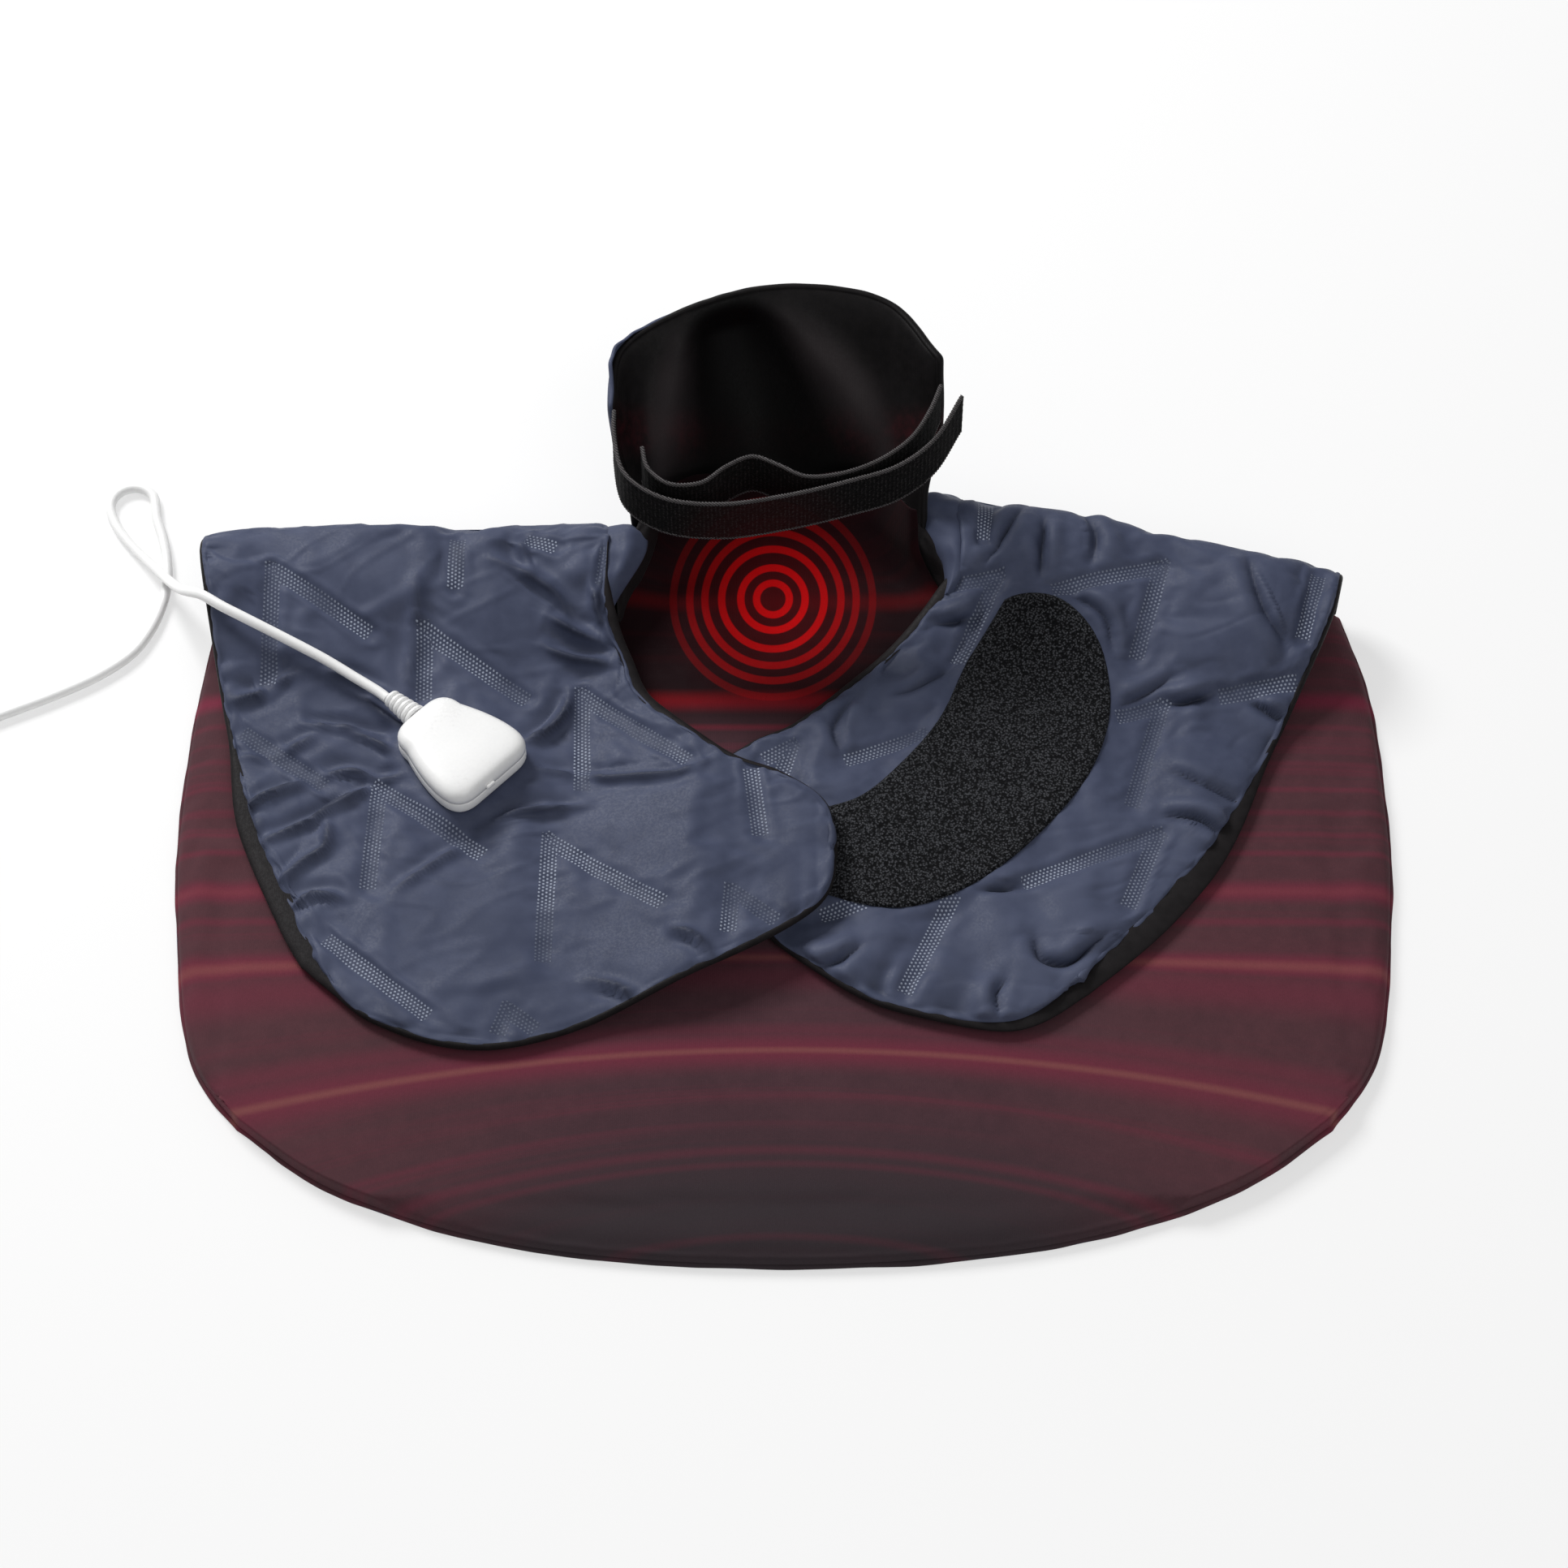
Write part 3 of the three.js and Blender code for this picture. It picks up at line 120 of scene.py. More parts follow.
def spline(points, t):
    """Places at the shares t of an even Catmull-Rom curve through points."""
    points = np.asarray(points, float)
    t = np.atleast_1d(t)
    last = len(points) - 1
    run = np.clip(t, 0, 1) * last
    k = np.minimum(run.astype(int), last - 1)
    w = (run - k)[:, None]
    before, start = points[np.maximum(k - 1, 0)], points[k]
    end, after = points[k + 1], points[np.minimum(k + 2, last)]
    a, b = (end - before) / 2, (after - start) / 2
    return ((2 * start - 2 * end + a + b) * w ** 3
            + (-3 * start + 3 * end - 2 * a - b) * w ** 2 + a * w + start)


def rounded_line(points, per_span):
    """A centripetal curve through points, with per_span places on each span."""
    points = np.asarray(points, float)
    padded = np.vstack([2 * points[0] - points[1], points, 2 * points[-1] - points[-2]])
    places = []
    for k in range(len(points) - 1):
        p0, p1, p2, p3 = padded[k:k + 4]
        d0, d1, d2 = (max(np.linalg.norm(q - p), 1e-9) ** 0.5
                      for p, q in ((p0, p1), (p1, p2), (p2, p3)))
        a = ((p1 - p0) / d0 - (p2 - p0) / (d0 + d1) + (p2 - p1) / d1) * d1
        b = ((p2 - p1) / d1 - (p3 - p1) / (d1 + d2) + (p3 - p2) / d2) * d1
        for w in np.linspace(0, 1, per_span, endpoint=False):
            places.append((2 * p1 - 2 * p2 + a + b) * w ** 3
                          + (-3 * p1 + 3 * p2 - 2 * a - b) * w ** 2 + a * w + p1)
    places.append(points[-1])
    return np.array(places)


def evenly(line, step):
    """The same line with its places a step apart."""
    line = np.asarray(line, float)
    along = np.concatenate([[0], np.cumsum(np.linalg.norm(np.diff(line, axis=0), axis=1))])
    count = max(2, round(along[-1] / step) + 1)
    wanted = np.linspace(0, along[-1], count)
    return np.stack([np.interp(wanted, along, line[:, i]) for i in range(3)], axis=1)


def smooth(t, start, end):
    t = np.clip((t - start) / (end - start), 0, 1)
    return t * t * (3 - 2 * t)


# Meshes

def new_piece(name, places, faces, paint):
    mesh = bpy.data.meshes.new(name)
    mesh.from_pydata([tuple(p) for p in places], [], faces)
    mesh.update()
    piece = bpy.data.objects.new(name, mesh)
    scene.collection.objects.link(piece)
    if paint:
        mesh.materials.append(paint)
    return piece


def activate(piece):
    bpy.ops.object.select_all(action="DESELECT")
    bpy.context.view_layer.objects.active = piece
    piece.select_set(True)


def apply_modifiers(piece):
    activate(piece)
    for modifier in list(piece.modifiers):
        bpy.ops.object.modifier_apply(modifier=modifier.name)


def smooth_shade(piece, degrees=None):
    activate(piece)
    if degrees is None:
        bpy.ops.object.shade_smooth()
    else:
        bpy.ops.object.shade_smooth_by_angle(angle=math.radians(degrees))


def subdivided(piece, levels=1):
    finer = piece.modifiers.new("finer", "SUBSURF")
    finer.levels = finer.render_levels = levels


def thickened(piece, thickness, offset=-1):
    wall = piece.modifiers.new("thickness", "SOLIDIFY")
    wall.thickness = thickness
    wall.offset = offset
    wall.use_even_offset = False


def facing_out(piece):
    activate(piece)
    bpy.ops.object.mode_set(mode="EDIT")
    bpy.ops.mesh.select_all(action="SELECT")
    bpy.ops.mesh.normals_make_consistent(inside=False)
    bpy.ops.object.mode_set(mode="OBJECT")


def facing(piece, way):
    """Turns an open sheet over where most of it points away from a direction."""
    if sum(face.normal.dot(Vector(way)) * face.area for face in piece.data.polygons) < 0:
        activate(piece)
        bpy.ops.object.mode_set(mode="EDIT")
        bpy.ops.mesh.select_all(action="SELECT")
        bpy.ops.mesh.flip_normals()
        bpy.ops.object.mode_set(mode="OBJECT")


def places_of(piece):
    """The places of a piece's vertices, one in each row."""
    places = np.empty(len(piece.data.vertices) * 3)
    piece.data.vertices.foreach_get("co", places)
    return places.reshape(-1, 3)


def set_places(piece, places):
    piece.data.vertices.foreach_set("co", places.ravel())
    piece.data.update()


def corners_of(piece):
    """Which vertex lies at each corner of each face."""
    corners = np.empty(len(piece.data.loops), np.int32)
    piece.data.loops.foreach_get("vertex_index", corners)
    return corners


def read_uv(piece, name):
    values = np.empty(len(piece.data.loops) * 2, np.float32)
    piece.data.uv_layers[name].data.foreach_get("uv", values)
    return values.reshape(-1, 2)


def write_uv(piece, name, values):
    layer = piece.data.uv_layers.new(name=name)
    layer.data.foreach_set("uv", values.ravel().astype(np.float32))


def with_rows(places, faces, border, rows, closed=False):
    """Adds rows of places beside a border, each joined to the one before it."""
    count, size = len(places), len(border)
    previous = list(border)
    for k in range(len(rows)):
        now = list(range(count + k * size, count + (k + 1) * size))
        for a in range(size if closed else size - 1):
            b = (a + 1) % size
            faces.append((previous[a], now[a], now[b], previous[b]))
        previous = now
    return np.vstack([places] + rows)


def out_from(line, normals, middle):
    """Directions square to a line and to its normals, away from the middle."""
    out = np.cross(np.gradient(line, axis=0), normals)
    out /= np.linalg.norm(out, axis=1, keepdims=True)
    k = len(line) // 2
    return out if ((line[k] - middle) * out[k]).sum() > 0 else -out


def soft_noise(*place):
    return noise.noise(Vector(place))


def noise_over(points, *layers):
    """Soft noise at flat points: each layer has its strength, its grain in x and y, and a shift."""
    return np.array([sum(power * soft_noise(x / grain_x, y / grain_y, shift)
                         for power, grain_x, grain_y, shift in layers) for x, y in points])


def settle(piece, body, slot, *stands_for, fill=None):
    """What moves the piece and the solids that it stands for; what it is made of (slot) is not used."""
    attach(piece, body)
    if stands_for:
        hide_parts(*stands_for)


def grid_faces(rows, columns, flip=False):
    faces = []
    for i in range(rows - 1):
        for j in range(columns - 1):
            a = i * columns + j
            face = (a, a + 1, a + columns + 1, a + columns)
            faces.append(face[::-1] if flip else face)
    return faces


def tube_mesh(name, line, radius, sides, paint, ends=True):
    """A round tube along a line; radius is one size or one for each place."""
    line = np.asarray(line, float)
    radii = np.broadcast_to(radius, len(line))
    tangents = np.gradient(line, axis=0)
    tangents /= np.linalg.norm(tangents, axis=1, keepdims=True)
    side = np.cross(tangents[0], (0, 0, 1))
    if np.linalg.norm(side) < 1e-6:
        side = np.array((1.0, 0, 0))
    places = []
    for k, (place, ahead) in enumerate(zip(line, tangents)):
        side = side - ahead * (side @ ahead)
        side /= np.linalg.norm(side)
        over = np.cross(side, ahead)
        for s in range(sides):
            angle = 2 * math.pi * s / sides
            places.append(place + radii[k] * (side * math.cos(angle) + over * math.sin(angle)))
    faces = []
    for k in range(len(line) - 1):
        for s in range(sides):
            a, b = k * sides + s, k * sides + (s + 1) % sides
            faces.append((a, a + sides, b + sides, b))
    if ends:
        faces.append(tuple(range(sides)))
        faces.append(tuple(range((len(line) - 1) * sides, len(line) * sides))[::-1])
    return new_piece(name, places, faces, paint)


# Cords: the routes pass the same places as the solids do

cord_diameter = 5 * mm
cord_sides = 14
cord_step = 3 * mm
coil_pitch = 5.7
coil_rest = 0.4
coil_steps = 40
flap_route = [
    (-187.9, 94.4, 27.3), (-192, 98, 27.4), (-204, 106, 28.4), (-218.5, 115, 30.6),
    (-238.3, 125, 34.4), (-258.2, 134.6, 38.2), (-269, 140.4, 39.4), (-278.7, 147.2, 39.1),
    (-283, 150.5, 36.6)]
floor_route = [
    (-283.8, 151.15, 35.9), (-287, 154, 33.2), (-291.6, 160.6, 26.2), (-297.4, 170, 18),
    (-304.6, 181.4, 10.6), (-312, 191.6, 6.2), (-319.2, 200.6, 3.7), (-325.4, 208.4, 2.9),
    (-331.6, 217.6, 2.9), (-335.4, 226, 2.9), (-336.4, 232, 2.9), (-334.9, 237.6, 2.9),
    (-330.8, 241.7, 2.9), (-325.2, 243.2, 2.9), (-319.6, 241.7, 2.9), (-315.5, 237.6, 2.9),
    (-314, 232, 2.9), (-312.6, 223.6, 2.9), (-308, 209.5, 2.9), (-304.7, 195, 2.9),
    (-303.6, 181, 2.9), (-304.9, 169, 2.9), (-308.5, 155, 2.9), (-316, 140, 2.9),
    (-330, 127, 2.9), (-348, 116, 2.9), (-370, 105, 2.9), (-392, 95, 2.9), (-410, 88.5, 2.9),
    (-424, 85.3, 2.9), (-436.6, 84.66, 2.9)]
control_lead_route = [
    (-408.66, 112.6, 8.6), (-409, 100, 8.8), (-411, 88, 9.1), (-415, 76, 9.2),
    (-420, 66, 9.15), (-423.3, 58, 9.15), (-424, 51.7, 9.15)]
mains_lead_route = [
    (-424, -115.7, 9.15), (-424, -123, 8.6), (-427, -135, 6), (-435, -146, 3.4),
    (-448, -152, 2.9), (-463, -150, 2.9), (-476, -139, 2.9), (-484.6, -122, 2.9),
    (-488.4, -100, 2.9), (-489.45, -75, 2.9), (-489.45, -50, 2.9), (-489.45, -25.4, 2.9)]
mains_tail_route = [(-489.45, -14.6, 8.6), (-489.45, -7, 8.4), (-489.45, 0.3, 8)]
control_coil = {"place": (-442, 118), "radius": 28, "turns": 3.75, "start": -90, "way": -1}
mains_coil = {"place": (-528, -20), "radius": 30, "turns": 6, "start": 0, "way": 1}


def coil_line(place, radius, turns, start, way):
    """Two layers: the cord winds in on the lower one and out again on the upper one."""
    layer = turns / 2
    outer = radius + layer * coil_pitch / 2
    turn = np.arange(round(turns * coil_steps) + 1) / coil_steps
    ring = outer - coil_pitch * np.minimum(turn, turns - turn)
    climb = smooth(turn, layer - 0.25, layer + 0.25) * coil_pitch
    angle = math.radians(start) + way * turn * 2 * math.pi
    return np.stack([
        place[0] + np.cos(angle) * ring, place[1] + np.sin(angle) * ring,
        cord_diameter / mm / 2 + coil_rest + climb], axis=1)


def cord_lines():
    """The whole line of each cord, in metres."""
    joined = np.vstack([rounded_line(flap_route + floor_route, 12)[:-1],
                        coil_line(**control_coil),
                        rounded_line(control_lead_route, 12)[1:]])
    mains = np.vstack([rounded_line(mains_lead_route, 12)[:-1], coil_line(**mains_coil),
                       rounded_line(mains_tail_route, 8)[1:]])
    return evenly(joined, cord_step / mm) * mm, evenly(mains, cord_step / mm) * mm


def make_cords():
    control, mains = cord_lines()
    control_cord = tube_mesh("control_cord", control, cord_diameter / 2, cord_sides, white_cord)
    mains_cord = tube_mesh("mains_cord", mains, cord_diameter / 2, cord_sides, white_cord)
    for cord in (control_cord, mains_cord):
        smooth_shade(cord, 60)
    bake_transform(control_cord)
    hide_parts("control_cord_flap", "control_cord_floor", "control_cord_coil",
                "control_cord_lead")
    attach(mains_cord, "back")
    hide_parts("mains_cord_lead", "mains_cord_coil", "mains_cord_tail")
    near_wrap = ("power_button_cap", "control_cord_relief_sleeve")
    on_control = [piece for piece in controller_pieces if piece.name in near_wrap] + [control_tie]
    on_control += [nodes[n] for n in (
        "controller_back", "controller_front", "controller_board", "display_window",
        "controller_screw_1", "controller_screw_2", "controller_screw_3", "controller_screw_4")]
    on_mains = [piece for piece in controller_pieces if piece.name not in near_wrap]
    on_mains += plug_pieces + [mains_tie, nodes["plug_blade_left"], nodes["plug_blade_right"]]


# Flaps: the same outlines and levels as the solids, in each flap's own frame

back_thickness = 10.7
seam_thickness = 2.7
flap_thickness = 8.5
flap_width, flap_depth = 200, 269
flap_rest = 11.0
fold_radius = 16
fold_height = 27
fold_run = 88
fold_end = -86
tongue_lift = 12.7
flap_slope = 18
fold_places = {"left": (-80.99, 180.99, 1.7), "right": (68.0, 202.99, -14.1)}
outer_edges = {
    "left": [(-1, 0), (-0.985, -0.08), (-0.92, -0.35), (-0.84, -0.57), (-0.7, -0.82)],
    "right": [(1.02, 0), (1.015, -0.07), (0.98, -0.195), (0.89, -0.475), (0.775, -0.69),
              (0.63, -0.875)]}
hem_edges = {
    "left": [(-0.7, -0.82), (-0.56, -0.942), (-0.27, -1), (0.155, -0.89), (0.44, -0.77),
             (0.495, -0.66)],
    "right": [(0.63, -0.875), (0.5, -0.98), (0.24, -0.998), (0.035, -0.95), (-0.13, -0.88),
              (-0.25, -0.775)]}
neck_edges = {
    "left": [(-0.02, 0), (-0.025, -0.137), (0.015, -0.235), (0.073, -0.328), (0.245, -0.446),
             (0.375, -0.494), (0.475, -0.56), (0.495, -0.66)],
    "right": [(0.08, 0), (0.12, -0.097), (0.095, -0.165), (0.028, -0.265), (-0.06, -0.37),
              (-0.163, -0.475), (-0.25, -0.535), (-0.31, -0.62), (-0.25, -0.775)]}
channel_half = 4.6
channel_press = 2.2
puff_height, puff_reach = 1.5, 19
channel_lines = {
    "left": [
        [(-0.836, -0.254), (-0.829, -0.045), (-0.594, -0.166)],
        [(-0.383, 0.012), (-0.39, -0.092)],
        [(-0.221, 0.006), (-0.146, -0.017)],
        [(-0.466, -0.289), (-0.464, -0.161), (-0.217, -0.297)],
        [(-0.035, -0.096), (-0.022, -0.036), (0.025, -0.056)],
        [(-0.088, -0.495), (-0.088, -0.287), (0.163, -0.463)],
        [(-0.178, -0.843), (-0.163, -0.595), (0.099, -0.752)],
        [(-0.582, -0.687), (-0.563, -0.477), (-0.317, -0.619)],
        [(-0.895, -0.346), (-0.691, -0.469)],
        [(-0.674, -0.784), (-0.434, -0.944)],
        [(-0.278, -0.982), (-0.255, -0.935), (-0.191, -0.976)],
        [(0.245, -0.82), (0.257, -0.736), (0.357, -0.801)],
        [(0.308, -0.481), (0.326, -0.626)]],
    "right": [
        [(0.123, -0.141), (0.22, -0.112), (0.173, -0.281)],
        [(0.353, -0.122), (0.599, -0.034), (0.587, -0.207)],
        [(0.143, 0.056), (0.165, -0.051)],
        [(0.971, 0.018), (0.963, -0.117)],
        [(0.798, -0.245), (0.974, -0.191)],
        [(0.572, -0.327), (0.672, -0.284), (0.658, -0.505)],
        [(0.455, -0.708), (0.732, -0.552), (0.704, -0.713)],
        [(0.152, -0.438), (-0.024, -0.534)],
        [(-0.211, -0.564), (-0.155, -0.526), (-0.159, -0.59)],
        [(0.308, -0.761), (0.259, -0.972)],
        [(0.118, -0.814), (0.023, -0.857)]]}
# Soft folds in the satin: how deep and how wide each is, then the places it passes
fold_lines = {
    "left": [
        (2.4, 4, (-0.92, -0.29), (-0.85, -0.27), (-0.81, -0.25), (-0.76, -0.24)),
        (2.2, 4, (-0.88, -0.53), (-0.84, -0.5), (-0.79, -0.48), (-0.73, -0.46)),
        (2.4, 4, (-0.72, -0.46), (-0.64, -0.44), (-0.56, -0.46), (-0.5, -0.45)),
        (2.8, 4, (-0.65, -0.36), (-0.58, -0.38), (-0.53, -0.41), (-0.5, -0.44)),
        (2.2, 3.6, (-0.6, -0.29), (-0.55, -0.33), (-0.5, -0.36)),
        (3.2, 4.5, (-0.23, -0.4), (-0.18, -0.37), (-0.13, -0.33), (-0.11, -0.28)),
        (2, 3.6, (-0.22, -0.45), (-0.12, -0.46), (0, -0.48), (0.14, -0.49), (0.23, -0.46)),
        (2.6, 4, (-0.18, -0.2), (-0.12, -0.22), (-0.06, -0.23), (-0.02, -0.24)),
        (2.4, 4, (-0.17, -0.15), (-0.12, -0.17), (-0.04, -0.2)),
        (2.2, 4.5, (-0.4, -0.09), (-0.38, -0.05), (-0.39, 0.02)),
        (2, 5, (-0.31, -0.04), (-0.23, -0.07), (-0.15, -0.11), (-0.12, -0.16)),
        (2, 6, (-0.48, -0.08), (-0.48, -0.17), (-0.5, -0.27)),
        (2, 4, (-0.8, -0.68), (-0.73, -0.63), (-0.68, -0.6), (-0.68, -0.53)),
        (1.6, 3.6, (-0.42, -0.57), (-0.36, -0.53), (-0.3, -0.48)),
        (1.5, 4, (-0.53, -0.7), (-0.43, -0.64), (-0.32, -0.57)),
        (2.2, 3.6, (0.21, -0.87), (0.17, -0.83), (0.11, -0.81)),
        (2.2, 3.6, (0.05, -0.95), (0, -0.91), (-0.08, -0.88)),
        (2, 4, (-0.77, -0.73), (-0.71, -0.7), (-0.63, -0.71)),
        (2.6, 4, (-0.01, -0.06), (-0.05, -0.11), (-0.04, -0.17)),
        (1.8, 4, (-0.89, -0.4), (-0.8, -0.4), (-0.71, -0.36)),
        (1.6, 4, (-0.2, -0.07), (-0.23, -0.01), (-0.2, 0.03)),
        (2.2, 3.4, (-0.76, -0.34), (-0.65, -0.35), (-0.53, -0.37)),
        (2.4, 3.6, (-0.83, -0.59), (-0.73, -0.55), (-0.61, -0.49), (-0.55, -0.46)),
        (2, 3.4, (-0.69, -0.24), (-0.61, -0.26), (-0.54, -0.29)),
        (2, 3.6, (-0.33, -0.57), (-0.23, -0.54), (-0.07, -0.53))],
    "right": [
        (2.8, 4, (0.1, -0.22), (0.17, -0.2), (0.24, -0.16)),
        (2.4, 4, (0.3, 0.01), (0.31, -0.05), (0.32, -0.1)),
        (2.2, 4, (0.36, -0.12), (0.43, -0.13), (0.5, -0.16), (0.53, -0.22)),
        (2, 4, (0.18, -0.1), (0.21, -0.04), (0.24, 0.04)),
        (3, 4, (0.67, -0.28), (0.73, -0.27), (0.79, -0.24)),
        (2.4, 4, (0.87, -0.24), (0.93, -0.26), (0.98, -0.26)),
        (2.4, 4, (0.73, -0.51), (0.81, -0.51), (0.9, -0.53)),
        (1.6, 4, (0.72, -0.42), (0.81, -0.44), (0.91, -0.45)),
        (2.6, 4, (0.3, -0.73), (0.37, -0.74), (0.44, -0.72), (0.52, -0.69)),
        (3.2, 4.5, (0.51, -0.81), (0.54, -0.85), (0.6, -0.85), (0.67, -0.78)),
        (2.2, 4, (0.04, -0.96), (0.1, -0.94), (0.14, -0.9)),
        (2.2, 4, (0.26, -0.99), (0.27, -0.94), (0.3, -0.91)),
        (2, 4, (0.48, -0.98), (0.46, -0.94), (0.47, -0.9)),
        (2, 4, (0.56, -0.31), (0.63, -0.27), (0.68, -0.23)),
        (1.8, 5, (0.94, -0.14), (0.87, -0.1), (0.82, -0.04), (0.79, 0.02)),
        (1.6, 4, (0.04, -0.38), (0.11, -0.34), (0.16, -0.29)),
        (1.6, 5, (0.37, 0.06), (0.43, -0.01), (0.43, -0.07)),
        (2, 4, (-0.05, -0.4), (-0.07, -0.47), (-0.03, -0.53))]}
patch_length = 185
patch_edge = [
    (0.27, -0.23), (0.395, -0.196), (0.52, -0.27), (0.596, -0.435), (0.595, -0.64),
    (0.515, -0.86), (0.376, -1.07), (0.216, -1.184), (0.01, -1.187), (-0.14, -1.14),
    (-0.17, -1.03), (-0.06, -0.95), (0.04, -0.88), (0.117, -0.755), (0.18, -0.6),
    (0.213, -0.4)]
connector_place = np.array((-0.38 * flap_width, -0.424 * flap_depth))
connector_turn = math.radians(-44)
edge_steps = np.array((0, 0.5, 1.4, 2.8, 4.8, 7.2))
fabric_step = 2.6
panel_step = 5.0
shell_thickness = 1.0
lining_thickness = 1.0
cloth_frames = 20
cloth_settings = {
    "quality": 6, "mass": 0.15, "tension_stiffness": 12, "compression_stiffness": 12,
    "shear_stiffness": 6, "bending_stiffness": 1.5, "air_damping": 1, "use_pressure": True}
most_sunk = 1.2 * mm
fit_gap = 0.3
gather_seed = {"left": 3, "right": 11}
# How far the pad is level round the connector or patch, what is held there, and the level
fitting_seats = {"left": (12, 1, 1.5), "right": (8, 0, 0)}
lip_profile = [(0.5, -0.1), (0.95, 0.35), (1.05, 1.2), (0.9, 2.2), (0.55, 3.0), (0.1, 3.25),
               (-0.35, 3.1)]


def stations(length, step, first=True, last=True):
    """Shares of a length: close together at a border, even between them."""
    start = edge_steps[-1] / length if first else 0
    end = 1 - edge_steps[-1] / length if last else 1
    inner = np.linspace(start, end, round((end - start) * length / step) + 1)
    if first:
        inner = np.concatenate([edge_steps[:-1] / length, inner])
    if last:
        inner = np.concatenate([inner, 1 - edge_steps[-2::-1] / length])
    return inner


def swell(distance, slope):
    left = 1 - np.clip(distance / slope, 0, 1)
    return np.sqrt(1 - left * left)


def four_sided(hem, fold, first, second, u, v):
    """A patch between four curves: u from the first side to the second, v from the hem on."""
    h, f = spline(hem, u)[None], spline(fold, u)[None]
    a, b = spline(first, v)[:, None], spline(second, v)[:, None]
    u, v = u[None, :, None], v[:, None, None]
    corners = ((h[:, :1] * (1 - u) + h[:, -1:] * u) * (1 - v)
               + (f[:, :1] * (1 - u) + f[:, -1:] * u) * v)
    return h * (1 - v) + f * v + a * (1 - u) + b * u - corners


def flap_sheet(side, step):
    """Places, directions and reach of a flap's pad and of its fold over the shoulder."""
    scale = np.array((flap_width, flap_depth))
    hem = np.array(hem_edges[side]) * scale
    outer = np.array(outer_edges[side][::-1]) * scale
    neck = np.array(neck_edges[side][::-1]) * scale
    fold = np.array((outer[-1], neck[-1]))
    u = stations(flap_width, step)
    v = stations(flap_depth, step, last=False)
    spots = four_sided(hem, fold, outer, neck, u, v)
    x, y = spots[..., 0], spots[..., 1]
    top = fold_height + fold_radius - flap_thickness
    level = top + (flap_rest - top) * smooth(-y, 0, fold_run)
    if side == "left":
        level = level + tongue_lift * smooth(x, -0.12 * flap_width, 0.2 * flap_width)
    turns = round(math.radians(90 - fold_end) * fold_radius / step)
    angles = np.radians(np.linspace(90, fold_end, turns + 1))[1:, None]
    fold_x = np.broadcast_to(spline(fold, u)[None, :, 0], (turns, len(u)))
    inner = fold_radius - flap_thickness
    place = np.stack([
        np.vstack([x, fold_x]),
        np.vstack([y, np.broadcast_to(np.cos(angles) * inner, fold_x.shape)]),
        np.vstack([level, np.broadcast_to(fold_height + np.sin(angles) * inner, fold_x.shape)]),
    ], axis=-1)
    normal = np.zeros_like(place)
    normal[:len(v), :, 2] = 1
    normal[len(v):, :, 1] = np.cos(angles)
    normal[len(v):, :, 2] = np.sin(angles)
    flat = np.stack([
        np.vstack([x, fold_x]),
        np.vstack([y, np.broadcast_to((math.pi / 2 - angles) * fold_radius, fold_x.shape)]),
    ], axis=-1)
    sides = np.minimum(u, 1 - u)[None, :] * flap_width
    front = np.concatenate([v * flap_depth, np.full(turns, 99.0)])[:, None]
    spare = (flap_thickness - seam_thickness) * (1 - swell(sides, flap_slope) * swell(front, flap_slope))
    lower = 0.38 * spare
    return {"place": place, "normal": normal, "flat": flat, "lower": lower,
            "upper": lower + flap_thickness - spare, "sides": sides + 0 * front,
            "front": front + 0 * sides, "along": v}


def in_place(places, side):
    """From a flap's own frame to the object's, in metres."""
    x0, y0, turn = fold_places[side]
    c, s = math.cos(math.radians(turn)), math.sin(math.radians(turn))
    places = np.asarray(places, float).reshape(-1, 3)
    x, y = places[:, 0], places[:, 1]
    return np.stack([x0 + c * x - s * y, y0 + s * x + c * y, places[:, 2]], axis=1) * mm


def channel_runs(side):
    """Each straight run of each channel: its corner, its direction, its length, where it
    starts along the channel, and whether it is the channel's first or last."""
    for line in channel_lines[side]:
        corners = np.array(line) * (flap_width, flap_depth)
        start = 0
        for k, step in enumerate(np.diff(corners, axis=0)):
            length = float(np.linalg.norm(step))
            yield corners[k], step / length, length, start, k == 0, k == len(corners) - 2
            start += length


def near_channel(side, flat):
    """How far each flat place is from the nearest channel."""
    best = np.full(len(flat), 1e9)
    for corner, ahead, length, *_ in channel_runs(side):
        s, t = (flat - corner) @ ahead, (flat - corner) @ (-ahead[1], ahead[0])
        best = np.minimum(best, np.hypot(np.maximum(np.maximum(-s, s - length), 0), t))
    return best


def gathers(flat, sides, front, seed):
    """Gathers along the sewn edges, which fade inwards, and small creases between."""
    rise = np.zeros(len(flat))
    for k, ((x, y), side, fore) in enumerate(zip(flat, sides, front)):
        if side < 40:
            way = (31 if x > 0 else -31) + seed
            nip = 0.3 - abs(soft_noise(way, y / 15, 0.5)) * 1.3 + 0.8 * soft_noise(way, y / 30, 4.5)
            rise[k] += nip * math.exp(-side / 15)
        if fore < 40:
            nip = (0.3 - abs(soft_noise(x / 15, seed + 7, 0.5)) * 1.3
                   + 0.8 * soft_noise(x / 30, seed + 7, 4.5))
            rise[k] += nip * math.exp(-fore / 15)
        lean = 0.7 * soft_noise(x / 60, y / 60, seed + 9)
        crease = abs(soft_noise((x + y * 0.5) / 46 + lean, (y - x * 0.5) / 19, seed + 3))
        rise[k] = 3.8 * rise[k] + 2.6 * (min(crease, 0.16) - 0.11)
    return rise * np.minimum(smooth(sides, 0, 5), smooth(front, 0, 5))


